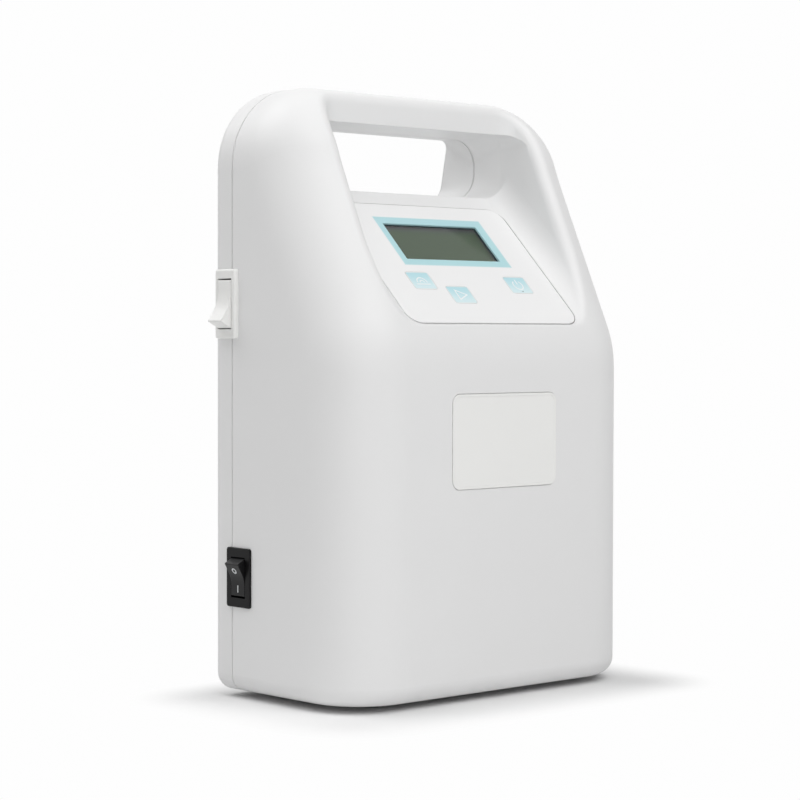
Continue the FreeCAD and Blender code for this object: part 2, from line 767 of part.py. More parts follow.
def socket_cutout(z):
    radius = SOCKET_STEM_R + CUTOUT_GAP
    return rod(radius, (SIDE_X - 2 * WALL, SOCKET_Y, z), (SIDE_X + WALL, SOCKET_Y, z))


def foot_holes():
    radius = FOOT_STEM_R + SCREW_GAP
    return [rod(radius, (x, y, 0), (x, y, FLOOR_Z + 1)) for x, y in foot_places()]


def foot_places():
    return [(side * FOOT_X, y) for side in (-1, 1) for y in FOOT_YS]


def seam_groove(outer):
    """The fine shadow line where the two halves meet, outside and round the hand opening."""
    band = box(-CASE_W, CASE_W, SEAM_Y - SEAM_GROOVE_W / 2, SEAM_Y + SEAM_GROOVE_W / 2, -CASE_H, 2 * CASE_H)
    return outer.common(band).cut(case_form(SEAM_GROOVE_D))


def case_shell():
    """The whole case as one hollow wall, before it is split."""
    outer = case_form(0.0)
    shell = outer.cut(case_form(WALL))
    return shell.cut(seam_groove(outer))


def front_casing(shell):
    """The front half: panel recess, front of the carry bar, bosses and board posts."""
    half = shell.common(box(-CASE_W, CASE_W, -CASE_D, SEAM_Y, -CASE_H, 2 * CASE_H))
    half = half.fuse(front_bosses() + board_posts() + tray_posts())
    cuts = panel_seat() + foot_holes() + pilot_holes()
    cuts += [label_seat(), switch_cutout(POWER_SWITCH), switch_cutout(SIDE_SWITCH)]
    cuts += [socket_cutout(z) for z in SOCKET_ZS.values()]
    for x, z in case_screw_places():
        radius = CASE_SCREW_R + SCREW_GAP / 2
        cuts.append(rod(radius, (x, SEAM_Y - CASE_SCREW_L + CASE_HEAD_SINK, z), (x, SEAM_Y + 1, z)))
    return one(half.cut(cuts))


def intake_size():
    """Width and height of the field of intake slots."""
    return (INTAKE_SLOTS - 1) * INTAKE_PITCH + INTAKE_SLOT_W, INTAKE_SLOT_H


def filter_size():
    width, height = intake_size()
    return width + 2 * FILTER_MARGIN, height + 2 * FILTER_MARGIN


def rear_cover(shell):
    """The back half: screw towers, inlet seat, intake slots and the filter's rim."""
    half = shell.common(box(-CASE_W, CASE_W, SEAM_Y, CASE_D, -CASE_H, 2 * CASE_H))
    inner_y = REAR_Y - WALL / 2
    extra = []
    cuts = []
    for x, z in case_screw_places():
        extra.append(rod(CASE_HEAD_R + WALL / 2, (x, SEAM_Y, z), (x, inner_y, z)))
        cuts.append(rod(CASE_SCREW_R + 2 * SCREW_GAP, (x, SEAM_Y - 1, z), (x, REAR_Y + 1, z)))
        cuts.append(rod(CASE_HEAD_R + 3 * SCREW_GAP, (x, REAR_Y - CASE_HEAD_SINK, z), (x, REAR_Y + 1, z)))
    seat_w = INLET_FLANGE_W + 2 * CUTOUT_GAP
    seat_h = INLET_FLANGE_H + 2 * CUTOUT_GAP
    seat_floor = INLET_PROUD - INLET_FLANGE_T - SCREW_GAP
    seat = rounded_slab(seat_w, seat_h, INLET_FLANGE_R + CUTOUT_GAP, seat_floor, 1)
    pad = rounded_slab(seat_w + 2 * WALL, seat_h + 2 * WALL, INLET_FLANGE_R + WALL, seat_floor - WALL,
                       -WALL / 2)
    hole = inlet_outline(INLET_BODY_W + 2 * CUTOUT_GAP, INLET_BODY_H + 2 * CUTOUT_GAP, -4 * WALL, 1)
    extra.append(on_back(pad, INLET_X, INLET_Z))
    cuts += [on_back(seat, INLET_X, INLET_Z), on_back(hole, INLET_X, INLET_Z)]
    for side in (-1, 1):
        x = INLET_X + side * INLET_SCREW_PITCH / 2
        pilot = SMALL_SCREW_R + SCREW_GAP / 2
        cuts.append(rod(pilot, (x, REAR_Y + seat_floor - 2 * WALL, INLET_Z), (x, REAR_Y, INLET_Z)))
    filter_w, filter_h = filter_size()
    rim_w = filter_w + 2 * FILTER_GAP
    rim_h = filter_h + 2 * FILTER_GAP
    rim_y = REAR_Y - WALL - FILTER_T - FILTER_RIM_T / 2
    rim = box(INTAKE_X - rim_w / 2 - FILTER_RIM_T, INTAKE_X + rim_w / 2 + FILTER_RIM_T, rim_y, inner_y,
              INTAKE_Z - rim_h / 2 - FILTER_RIM_T, INTAKE_Z + rim_h / 2 + FILTER_RIM_T)
    well = box(INTAKE_X - rim_w / 2, INTAKE_X + rim_w / 2, rim_y - 1, REAR_Y - WALL,
               INTAKE_Z - rim_h / 2, INTAKE_Z + rim_h / 2)
    extra.append(rim.cut(well))
    first_x = INTAKE_X - (INTAKE_SLOTS - 1) * INTAKE_PITCH / 2
    for i in range(INTAKE_SLOTS):
        slot = rounded_slab(INTAKE_SLOT_W, INTAKE_SLOT_H, INTAKE_SLOT_W / 2 - 0.05, -WALL - 1, 1)
        cuts.append(on_back(slot, first_x + i * INTAKE_PITCH, INTAKE_Z))
    cuts += [switch_cutout(POWER_SWITCH), switch_cutout(SIDE_SWITCH)]
    return one(half.fuse(extra).cut(cuts))


def casing_screws():
    """Pan-head screws with a cross, sunk in the rear cover's towers."""
    screws = []
    seat_y = REAR_Y - CASE_HEAD_SINK
    for x, z in case_screw_places():
        head = rod(CASE_HEAD_R, (x, seat_y, z), (x, seat_y + CASE_HEAD_H, z))
        head = head.makeFillet(0.8, [e for e in head.Edges if mid(e).y > seat_y + CASE_HEAD_H - 0.01
                                     and e.Length > CASE_HEAD_R * 2])
        shank = rod(CASE_SCREW_R, (x, seat_y - CASE_SCREW_L, z), (x, seat_y, z))
        slot = 0.5
        reach = CASE_HEAD_R * 0.6
        low_y = seat_y + CASE_HEAD_H / 2
        cross = box(x - reach, x + reach, low_y, REAR_Y, z - slot, z + slot)
        cross = cross.fuse(box(x - slot, x + slot, low_y, REAR_Y, z - reach, z + reach))
        screws.append(one(head.fuse(shank).cut(cross)))
    return group(screws)


def feet():
    """Push-in rubber feet."""
    pieces = []
    for x, y in foot_places():
        pad = rod(FOOT_R, (x, y, 0), (x, y, FOOT_H))
        pad = pad.makeChamfer(FOOT_EDGE, [e for e in pad.Edges if e.BoundBox.ZMax < 0.01])
        stem = rod(FOOT_STEM_R, (x, y, FOOT_H), (x, y, FLOOR_Z + SCREW_GAP))
        bulb = cone(FOOT_BULB_R, FOOT_STEM_R, (x, y, FLOOR_Z + SCREW_GAP), (x, y, FLOOR_Z + FOOT_BULB_H))
        pieces.append(one(pad.fuse([stem, bulb])))
    return group(pieces)


def label_plate():
    """The blank plate on the front, with a low raised rim."""
    rim = 1.2
    plate = rounded_slab(LABEL_W, LABEL_H, LABEL_R, 0, LABEL_T)
    field = rounded_slab(LABEL_W - 2 * rim, LABEL_H - 2 * rim, LABEL_R - rim, LABEL_T - LABEL_PROUD / 2,
                         LABEL_T + 1)
    plate = plate.cut(field)
    plate.rotate(V(0, 0, 0), X, 90)
    plate.translate(V(0, FRONT_Y + LABEL_T - LABEL_PROUD, LABEL_Z))
    return one(plate)


# ---------------------------------------------------------------- control panel
def control_panel():
    """The keypad plate, with a lipped window and three key openings."""
    centre = (0.0, (PLATE_TOP_V + PLATE_FLOOR_V) / 2)
    plate = rounded_slab(PLATE_W, PLATE_TOP_V - PLATE_FLOOR_V, PLATE_R, PLATE_BACK_N, PLATE_PROUD, centre)
    top_edges = [e for e in plate.Edges if e.BoundBox.ZMin > PLATE_PROUD - 0.01]
    plate = plate.makeFillet(0.3, top_edges)
    window = rounded_slab(WINDOW_W, WINDOW_H, 0.4, PLATE_BACK_N - 1, PLATE_PROUD + 1, (0.0, WINDOW_V))
    seat = rounded_slab(WINDOW_W + 2 * WINDOW_LIP, WINDOW_H + 2 * WINDOW_LIP, 1.0, PLATE_BACK_N - 1,
                        PLATE_BACK_N + LENS_T + SCREW_GAP / 2, (0.0, WINDOW_V))
    cuts = [window, seat]
    for place in KEYS.values():
        cuts.append(rounded_slab(KEY_W + 2 * KEY_GAP, KEY_H + 2 * KEY_GAP, KEY_R + KEY_GAP, PLATE_BACK_N - 1,
                                 PLATE_PROUD + 1, place))
    return one(on_panel(plate.cut(cuts)))


def display_window():
    """The clear lens, held behind the panel's lip."""
    margin = 2 * (WINDOW_LIP - SCREW_GAP)
    lens = rounded_slab(WINDOW_W + margin, WINDOW_H + margin, 0.9, PLATE_BACK_N, PLATE_BACK_N + LENS_T,
                        (0.0, WINDOW_V))
    return on_panel(lens)


def key(place):
    """One key pad, flush with the panel."""
    pad = rounded_slab(KEY_W, KEY_H, KEY_R, PLATE_PROUD - KEY_T, PLATE_PROUD, place)
    return on_panel(pad)


def keypad_circuit():
    """The printed layer under the keys."""
    gap = PLATE_GAP
    centre = (0.0, (PLATE_TOP_V + PLATE_FLOOR_V) / 2)
    layer = rounded_slab(PLATE_W - gap, PLATE_TOP_V - PLATE_FLOOR_V - gap, PLATE_R - gap / 2, -PLATE_SEAT,
                         PLATE_BACK_N, centre)
    width = WINDOW_W + 2 * (GLASS_MARGIN + GLASS_GAP)
    height = WINDOW_H + 2 * (GLASS_MARGIN + GLASS_GAP)
    return on_panel(layer.cut(rounded_slab(width, height, 1.0, -WALL, WALL, (0.0, WINDOW_V))))


def key_domes():
    """Snap domes, shallow dishes under the key pads."""
    domes = []
    for u, v in KEYS.values():
        domes.append(on_panel(cone(DOME_R, DOME_R - 3 * DOME_H, (u, v, PLATE_BACK_N),
                                   (u, v, PLATE_BACK_N + DOME_H))))
    return group(domes)


# ---------------------------------------------------------------- display and control board
def glass_size():
    return WINDOW_W + 2 * GLASS_MARGIN, WINDOW_H + 2 * GLASS_MARGIN


def display_glass():
    width, height = glass_size()
    front = -PLATE_SEAT - GLASS_GAP
    return on_panel(rounded_slab(width, height, 0.6, front - GLASS_T, front, (0.0, WINDOW_V)))


def display_backlight():
    width, height = glass_size()
    front = -PLATE_SEAT - GLASS_GAP - GLASS_T
    return on_panel(rounded_slab(width, height, 0.6, bezel_back(), front, (0.0, WINDOW_V)))


def display_bezel():
    """The metal frame that holds glass and backlight to the display's board."""
    width, height = glass_size()
    frame = rounded_slab(width + 2 * BEZEL_MARGIN, height + 2 * BEZEL_MARGIN, 1.0, bezel_back(),
                         bezel_back() + BEZEL_T, (0.0, WINDOW_V))
    hole = rounded_slab(width + GLASS_GAP, height + GLASS_GAP, 0.7, bezel_back() - 1, WALL, (0.0, WINDOW_V))
    return one(on_panel(frame.cut(hole)))


def display_board():
    board = rounded_slab(DISPLAY_BOARD_W, DISPLAY_BOARD_H, 1.0, bezel_back() - BOARD_T, bezel_back(),
                         (0.0, WINDOW_V))
    radius = BOARD_PILOT_R
    holes = [rod(radius, (u, v, -CONTROL_BOARD_DEPTH), (u, v, 0)) for u, v in display_post_places()]
    return one(on_panel(board.cut(holes)))


def control_board():
    back = -CONTROL_BOARD_DEPTH - BOARD_T
    centre = (0.0, CONTROL_BOARD_TOP_V - CONTROL_BOARD_H / 2)
    board = rounded_slab(CONTROL_BOARD_W, CONTROL_BOARD_H, 1.5, back, -CONTROL_BOARD_DEPTH, centre)
    radius = SMALL_SCREW_R + SCREW_GAP
    holes = [rod(radius, (u, v, back - 1), (u, v, 0)) for u, v in control_post_places()]
    return one(on_panel(board.cut(holes)))


def control_chips():
    """Processor, memory, drivers and the ribbon's header, on the board's back."""
    back = -CONTROL_BOARD_DEPTH - BOARD_T
    low_v = CONTROL_BOARD_TOP_V - CONTROL_BOARD_H
    chips = []
    for chip in CHIPS.values():
        u = chip["x"]
        v = low_v + chip["rise"]
        half_w = chip["w"] / 2
        half_h = chip["h"] / 2
        chips.append(on_panel(box(u - half_w, u + half_w, v - half_h, v + half_h, back - chip["t"], back)))
    header_w = RIBBON_W / 2 + HEADER_MARGIN
    header_v = low_v + HEADER_RISE
    header = on_panel(box(-header_w, header_w, header_v, header_v + HEADER_W, back - HEADER_T, back))
    return group(chips + [header])


def buzzer():
    back = -CONTROL_BOARD_DEPTH - BOARD_T
    place = (CONTROL_BOARD_W / 2 - BUZZER_INSET, CONTROL_BOARD_TOP_V - CONTROL_BOARD_H / 4)
    can = rod(BUZZER_R, (*place, back - BUZZER_H), (*place, back))
    hole = rod(BUZZER_HOLE_R, (*place, back - BUZZER_H - 1), (*place, back - BUZZER_H / 2))
    return one(on_panel(can.cut(hole)))


def small_screw(seat, inward):
    """A small pan-head screw whose head rests at seat and whose shank points inward."""
    seat = V(*seat)
    inward = V(*inward).normalize()
    head = rod(SMALL_HEAD_R, seat - inward * SMALL_HEAD_H, seat)
    return one(head.fuse(rod(SMALL_SCREW_R, seat, seat + inward * SMALL_SCREW_L)))


def small_screws():
    """The equal pan-head screws of both boards, the tray and the manifold."""
    screws = [small_screw((x, SUPPLY_BACK_Y, z), (0, -1, 0)) for x, z in supply_post_places()]
    for u, v in control_post_places():
        screws.append(on_panel(small_screw((u, v, -CONTROL_BOARD_DEPTH - BOARD_T), (0, 0, 1))))
    screws += [small_screw((x, y, TRAY_Z + TRAY_T), (0, 0, -1)) for x in TRAY_SCREW_XS for y in TRAY_SCREW_YS]
    z = MANIFOLD_Z + MANIFOLD_H / 2
    screws += [small_screw((x, TRAY_REAR_Y, z), (0, -1, 0)) for x in MANIFOLD_SCREW_XS]
    return group(screws)


# ---------------------------------------------------------------- rocker switches
def switch_frame(size):
    """A switch body with its raised frame and the slot that the rocker tips in."""
    frame = rounded_slab(size["frame_w"], size["frame_h"], size["frame_r"], 0, size["proud"])
    rim = [e for e in frame.Edges if e.BoundBox.ZMin > size["proud"] - 0.01]
    frame = frame.makeFillet(size["frame_edge"], rim)
    body = rounded_slab(size["body_w"], size["body_h"], 0.4, -size["depth"], 0)
    slot_w = size["rocker_w"] + 2 * ROCKER_SIDE_GAP
    slot_h = 2 * (rocker_reach(size) + ROCKER_SIDE_GAP)
    slot = box(-slot_w / 2, slot_w / 2, -slot_h / 2, slot_h / 2, -size["slot_depth"], size["proud"] + 1)
    bearing_l = slot_w + 2 * (ROCKER_PIN_L + PIN_CLEARANCE)
    bearing = rod(ROCKER_PIN_R + PIN_CLEARANCE, (-bearing_l / 2, 0, -size["pivot_in"]),
                  (bearing_l / 2, 0, -size["pivot_in"]))
    return one(on_side(frame.fuse(body).cut([slot, bearing]), size))


def rocker_reach(size):
    """How far the rocker's widest corners swing from its pivot."""
    return sqrt(size["base_v"] ** 2 + size["base_n"] ** 2)


def rocker(size):
    """A rocker with two finger faces that meet in a valley, tipped as it stands at rest."""
    half = size["rocker_w"] / 2
    foot_v = size["base_v"] * 0.55
    foot_n = size["pivot_in"] + 2.0 - size["slot_depth"]
    outline = [(foot_v, foot_n), (size["base_v"], size["base_n"]), (size["tip_v"], size["tip_n"])]
    mirrored = [(-v, n) for v, n in reversed(outline)]
    side_view = [(-half, v, n) for v, n in outline + [(0.0, size["valley_n"])] + mirrored]
    shape = polygon_prism(side_view, X * (2 * half))
    ridges = [e for e in shape.Edges if abs(mid(e).x) < 0.01]
    shape = shape.makeFillet(size["valley_r"], [e for e in ridges if abs(mid(e).y) < 0.01 and mid(e).z > 0])
    tips = [e for e in shape.Edges if abs(mid(e).x) < 0.01 and abs(abs(mid(e).y) - size["tip_v"]) < 0.01]
    shape = shape.makeFillet(ROCKER_TIP_R, tips)
    pin_l = half + ROCKER_SIDE_GAP + ROCKER_PIN_L
    shape = shape.fuse(rod(ROCKER_PIN_R, (-pin_l, 0, 0), (pin_l, 0, 0)))
    shape.rotate(V(0, 0, 0), X, size["tilt"])
    shape.translate(V(0, 0, -size["pivot_in"]))
    return one(on_side(shape, size))


def switch_tabs(size, count):
    """Blade terminals on the back of a switch."""
    tabs = []
    spread = size["body_h"] / 4
    for i in range(count):
        v = spread * (1 - 2 * (i % 2)) if count > 1 else 0.0
        u = size["body_w"] / 4 * (1 - 2 * (i // 2)) if count > 2 else 0.0
        blade = box(u - TAB_T / 2, u + TAB_T / 2, v - TAB_W / 2, v + TAB_W / 2, -size["depth"] - TAB_L,
                    -size["depth"])
        tabs.append(on_side(blade, size))
    return group(tabs)


# ---------------------------------------------------------------- mains inlet and air intake
def inlet_outline(width, height, depth0, depth1):
    """The inlet's six-sided section: a rectangle with its two upper corners cut."""
    a = width / 2
    b = height / 2
    c = INLET_CORNER
    points = [(-a, -b, depth0), (a, -b, depth0), (a, b - c, depth0), (a - c, b, depth0), (c - a, b, depth0),
              (-a, b - c, depth0)]
    return polygon_prism(points, Z * (depth1 - depth0))


def mains_inlet():
    """The appliance inlet: flange, hollow socket and the block behind it."""
    flange = rounded_slab(INLET_FLANGE_W, INLET_FLANGE_H, INLET_FLANGE_R, -INLET_FLANGE_T, 0)
    body = inlet_outline(INLET_BODY_W, INLET_BODY_H, -INLET_BODY_L, 0)
    socket = inlet_outline(INLET_SOCKET_W, INLET_SOCKET_H, -INLET_SOCKET_L, 1)
    shape = flange.fuse(body).cut(socket)
    for side in (-1, 1):
        u = side * INLET_SCREW_PITCH / 2
        shape = shape.cut(countersink(u, 0.0, SCREW_GAP))
    for u, v in inlet_pin_places():
        w = INLET_PIN_W / 2
        h = INLET_PIN_H / 2
        shape = shape.cut(box(u - w, u + w, v - h, v + h, -2 * INLET_BODY_L, 0))
    return one(on_back(shape, INLET_X, INLET_Z, INLET_PROUD))


def countersink(u, v, grow):
    """A countersunk screw's form in the flange, head up."""
    head = cone(SMALL_SCREW_R + grow, SMALL_HEAD_R + grow, (u, v, -SMALL_HEAD_H - grow), (u, v, 0))
    shank = rod(SMALL_SCREW_R + grow, (u, v, -SMALL_SCREW_L - 1), (u, v, -SMALL_HEAD_H))
    return head.fuse(shank)


def inlet_pin_places():
    half = INLET_PIN_PITCH / 2
    return [(-half, 0.0), (half, 0.0), (0.0, INLET_EARTH_RISE)]


def inlet_pins():
    """Line, neutral and earth pins, whose tails are the solder tabs behind."""
    pins = []
    for u, v in inlet_pin_places():
        w = INLET_PIN_W / 2
        h = INLET_PIN_H / 2
        pin = box(u - w, u + w, v - h, v + h, -INLET_BODY_L - TAB_L / 2, -INLET_PIN_SINK)
        pins.append(on_back(pin, INLET_X, INLET_Z, INLET_PROUD))
    return group(pins)


def inlet_screws():
    screws = []
    for side in (-1, 1):
        screw = countersink(side * INLET_SCREW_PITCH / 2, 0.0, 0.0)
        screws.append(one(on_back(screw, INLET_X, INLET_Z, INLET_PROUD)))
    return group(screws)


def intake_filter():
    """The felt pad behind the intake slots."""
    width, height = filter_size()
    rear_y = REAR_Y - WALL
    return box(INTAKE_X - width / 2, INTAKE_X + width / 2, rear_y - FILTER_T, rear_y,
               INTAKE_Z - height / 2, INTAKE_Z + height / 2)


# ---------------------------------------------------------------- hose sockets
def hose_socket(z):
    """A panel socket: flange and nose outside, threaded stem and hose barb inside."""
    face = SIDE_X
    tip = face + SOCKET_PROUD
    stem_end = face - SOCKET_STEM_L
    flange = rod(SOCKET_FLANGE_R, (face, SOCKET_Y, z), (face + SOCKET_FLANGE_T, SOCKET_Y, z))
    flange = flange.makeFillet(0.6, [e for e in flange.Edges if mid(e).x > face + SOCKET_FLANGE_T - 0.01
                                     and e.Length > SOCKET_FLANGE_R * 3])
    nose = rod(SOCKET_NOSE_R, (face, SOCKET_Y, z), (tip, SOCKET_Y, z))
    nose = nose.makeFillet(0.8,
                           [e for e in nose.Edges if mid(e).x > tip - 0.01 and e.Length > SOCKET_NOSE_R * 3])
    stem = rod(SOCKET_STEM_R, (stem_end, SOCKET_Y, z), (face, SOCKET_Y, z))
    barb_end = stem_end - BARB_L
    barb = rod(BARB_R, (barb_end, SOCKET_Y, z), (stem_end, SOCKET_Y, z))
    socket = flange.fuse([nose, stem, barb])
    bore = rod(SOCKET_BORE_R, (tip - SOCKET_BORE_L, SOCKET_Y, z), (tip + 1, SOCKET_Y, z))
    air = rod(BARB_BORE_R, (barb_end - 1, SOCKET_Y, z), (tip - 1, SOCKET_Y, z))
    return one(socket.cut([bore, air]))


def socket_nuts():
    """Six-sided nuts on the stems, inside the wall."""
    nuts = []
    nut_x = SIDE_X - WALL - SOCKET_SEAL_T - SOCKET_NUT_T
    for z in SOCKET_ZS.values():
        corners = []
        for i in range(6):
            turn = radians(60 * i)
            corners.append((nut_x, SOCKET_Y + SOCKET_NUT_R * cos(turn), z + SOCKET_NUT_R * sin(turn)))
        nut = polygon_prism(corners, X * SOCKET_NUT_T)
        nuts.append(nut.cut(rod(SOCKET_STEM_R + PIN_CLEARANCE, (0, SOCKET_Y, z), (SIDE_X, SOCKET_Y, z))))
    return group(nuts)


def socket_seals():
    """Rubber washers between the wall and the sockets' nuts."""
    seals = []
    x = SIDE_X - WALL - SOCKET_SEAL_T
    for z in SOCKET_ZS.values():
        ring = rod(SOCKET_NUT_R, (x, SOCKET_Y, z), (x + SOCKET_SEAL_T, SOCKET_Y, z))
        hole = rod(SOCKET_STEM_R + PIN_CLEARANCE, (x - 1, SOCKET_Y, z), (SIDE_X, SOCKET_Y, z))
        seals.append(ring.cut(hole))
    return group(seals)


# ---------------------------------------------------------------- tray and pump
def chassis():
    """A bent sheet tray: a floor under the pump and an upright behind the valves."""
    base = box(TRAY_LEFT_X, TRAY_RIGHT_X, TRAY_FRONT_Y, TRAY_REAR_Y, TRAY_Z, TRAY_Z + TRAY_T)
    upright = box(TRAY_LEFT_X, TRAY_RIGHT_X, TRAY_REAR_Y - TRAY_T, TRAY_REAR_Y, TRAY_Z, TRAY_TOP_Z)
    tray = base.fuse(upright).removeSplitter()
    outer = [e for e in tray.Edges if e.BoundBox.XLength > 50 and mid(e).y > TRAY_REAR_Y - 0.01
             and mid(e).z < TRAY_Z + 0.01]
    tray = tray.makeFillet(TRAY_T * 0.9, outer)
    holes = [rod(SMALL_SCREW_R + SCREW_GAP, (x, y, TRAY_Z - 1), (x, y, TRAY_Z + TRAY_T + 1))
             for x in TRAY_SCREW_XS for y in TRAY_SCREW_YS]
    for x in MANIFOLD_SCREW_XS:
        z = MANIFOLD_Z + MANIFOLD_H / 2
        holes.append(rod(SMALL_SCREW_R + SCREW_GAP, (x, TRAY_REAR_Y - 2 * TRAY_T, z),
                         (x, TRAY_REAR_Y + 1, z)))
    window = box(TRAY_LEFT_X + TRAY_WINDOW_INSET, TRAY_RIGHT_X - TRAY_WINDOW_INSET, 0, CASE_D,
                 TRAY_Z + TRAY_WINDOW_RISE, MANIFOLD_Z - TRAY_WINDOW_DROP)
    return one(tray.cut(holes + [window]))


def mount_places():
    return [(PUMP_X + i * PUMP_MOUNT_DX, PUMP_Y + j * PUMP_MOUNT_DY) for i in (-1, 1) for j in (-1, 1)]


def pump_mounts():
    """Waisted rubber blocks between tray and pump."""
    mounts = []
    z0 = TRAY_Z + TRAY_T
    third = PUMP_MOUNT_H / 3
    for x, y in mount_places():
        waist = PUMP_MOUNT_R - PUMP_MOUNT_WAIST
        low = rod(PUMP_MOUNT_R, (x, y, z0), (x, y, z0 + third))
        middle = rod(waist, (x, y, z0), (x, y, z0 + PUMP_MOUNT_H))
        high = rod(PUMP_MOUNT_R, (x, y, z0 + 2 * third), (x, y, z0 + PUMP_MOUNT_H))
        mounts.append(one(low.fuse([middle, high])))
    return group(mounts)


def pump_box(dx0, dx1, dy0, dy1, dz0, dz1):
    """A block placed about the pump's axis."""
    return box(PUMP_X + dx0, PUMP_X + dx1, PUMP_Y + dy0, PUMP_Y + dy1, PUMP_AXIS_Z + dz0, PUMP_AXIS_Z + dz1)


def pump_rod(radius, dx0, dx1, dy=0.0, dz=0.0):
    """A round bar along the pump's axis."""
    return rod(radius, (PUMP_X + dx0, PUMP_Y + dy, PUMP_AXIS_Z + dz),
               (PUMP_X + dx1, PUMP_Y + dy, PUMP_AXIS_Z + dz))


def head_screw_places():
    return [(i * HEAD_SCREW_OFFSET, j * HEAD_SCREW_OFFSET) for i in (-1, 1) for j in (-1, 1)]


def core_span():
    """Distances of a core's pole faces and back from the pump's axis."""
    return ARMATURE_HALF_T + AIR_GAP, PUMP_TOP_RISE - PUMP_PLATE_T


def pump_frame():
    """Base, two end plates and a top bridge, with rails that carry the lower core."""
    floor = -PUMP_AXIS_RISE
    _, core_back = core_span()
    base = pump_box(-PUMP_BASE_HALF_L, PUMP_BASE_HALF_L, -PUMP_HALF_W, PUMP_HALF_W, floor,
                    floor + PUMP_PLATE_T)
    bridge = pump_box(-PUMP_FRAME_HALF_L, PUMP_FRAME_HALF_L, -CORE_HALF_W, CORE_HALF_W, core_back,
                      PUMP_TOP_RISE)
    parts = [bridge]
    for side in (-1, 1):
        a, b = sorted((side * PUMP_FRAME_HALF_L, side * (PUMP_FRAME_HALF_L - PUMP_PLATE_T)))
        parts.append(pump_box(a, b, -PUMP_HALF_W, PUMP_HALF_W, floor, PUMP_TOP_RISE))
        c, d = sorted((side * CORE_HALF_W * 0.6, side * CORE_HALF_W))
        parts.append(pump_box(-CORE_HALF_L, CORE_HALF_L, c, d, floor, -core_back))
    frame = base.fuse(parts)
    cuts = [pump_rod(PUMP_FRAME_BORE_R, -PUMP_FRAME_HALF_L - 1, PUMP_FRAME_HALF_L + 1)]
    for dy, dz in head_screw_places():
        cuts.append(pump_rod(SMALL_SCREW_R + SCREW_GAP / 2, -PUMP_BASE_HALF_L, PUMP_BASE_HALF_L, dy, dz))
    return one(frame.cut(cuts))


def pump_core():
    """Two E-shaped lamination stacks, above and below the armature."""
    pole, back = core_span()
    cores = []
    for side in (-1, 1):
        def span(near, far):
            return sorted((side * near, side * far))
        shape = pump_box(-CORE_HALF_L, CORE_HALF_L, -CORE_HALF_W, CORE_HALF_W,
                         *span(back - CORE_YOKE_T, back))
        for dx0, dx1 in ((-CORE_HALF_L, CORE_LEG_W - CORE_HALF_L), (-CORE_CENTRE_HALF, CORE_CENTRE_HALF),
                         (CORE_HALF_L - CORE_LEG_W, CORE_HALF_L)):
            shape = shape.fuse(pump_box(dx0, dx1, -CORE_HALF_W, CORE_HALF_W, *span(pole, back - CORE_YOKE_T)))
        cores.append(one(shape))
    return group(cores)


def pump_coils():
    """Windings round the middle leg of each core."""
    pole, back = core_span()
    coils = []
    inner_x = CORE_CENTRE_HALF + COIL_GAP
    inner_y = CORE_HALF_W + COIL_GAP
    outer_x = CORE_HALF_L - CORE_LEG_W - COIL_GAP
    outer_y = inner_y + COIL_T
    for side in (-1, 1):
        z0, z1 = sorted((side * (pole + COIL_GAP), side * (back - CORE_YOKE_T - COIL_GAP)))
        ring = rounded_slab(2 * outer_x, 2 * outer_y, COIL_T, z0, z1)
        ring = ring.cut(rounded_slab(2 * inner_x, 2 * inner_y, COIL_GAP, z0 - 1, z1 + 1))
        ring.translate(V(PUMP_X, PUMP_Y, PUMP_AXIS_Z))
        coils.append(ring)
    return group(coils)


def pump_armature():
    """The magnet plate, its rod and the two discs that push the diaphragms."""
    near = PUMP_FRAME_HALF_L + (DIAPHRAGM_WEB_T - ARMATURE_DISC_T) / 2
    far = near + ARMATURE_DISC_T
    plate = pump_box(-ARMATURE_HALF_L, ARMATURE_HALF_L, -CORE_HALF_W, CORE_HALF_W, -ARMATURE_HALF_T,
                     ARMATURE_HALF_T)
    shaft = pump_rod(ARMATURE_ROD_R, -near, near)
    discs = [pump_rod(ARMATURE_DISC_R, near, far), pump_rod(ARMATURE_DISC_R, -far, -near)]
    return one(plate.fuse([shaft] + discs))


def pump_diaphragms():
    """Rubber rings clamped by their rims, thin in the web."""
    rings = []
    for side in (-1, 1):
        near = side * PUMP_FRAME_HALF_L
        far = side * (PUMP_FRAME_HALF_L + DIAPHRAGM_T)
        web_far = side * (PUMP_FRAME_HALF_L + DIAPHRAGM_WEB_T)
        rim = pump_rod(DIAPHRAGM_R, near,
                       far).cut(pump_rod(DIAPHRAGM_R - DIAPHRAGM_RIM_W, near - side, far + side))
        web = pump_rod(DIAPHRAGM_R - 1, near, web_far)
        hole = pump_rod(ARMATURE_DISC_R + ARMATURE_DISC_GAP, near - side, far + side)
        rings.append(one(rim.fuse(web).cut(hole)))
    return group(rings)


def pump_heads():
    """The two valve heads, each with a chamber and a nipple on top."""
    heads = []
    for side in (-1, 1):
        a, b = sorted((side * HEAD_X, side * (HEAD_X + HEAD_L)))
        block = pump_box(a, b, -HEAD_HALF, HEAD_HALF, -HEAD_HALF, HEAD_HALF)
        chamber = pump_rod(HEAD_CHAMBER_R, side * (HEAD_X - 1), side * (HEAD_X + HEAD_CHAMBER_L))
        x = nipple_x(side)
        top = PUMP_AXIS_Z + HEAD_HALF
        nipple = rod(NIPPLE_R, (x, PUMP_Y, top - 1), (x, PUMP_Y, top + NIPPLE_L))
        drill = rod(NIPPLE_BORE_R, (x, PUMP_Y, PUMP_AXIS_Z), (x, PUMP_Y, top + NIPPLE_L + 1))
        cuts = [chamber, drill]
        for dy, dz in head_screw_places():
            cuts.append(pump_rod(SMALL_SCREW_R + SCREW_GAP, side * (HEAD_X - 1), side * (HEAD_X + HEAD_L + 1),
                                 dy, dz))
        heads.append(one(block.fuse(nipple).cut(cuts)))
    return group(heads)


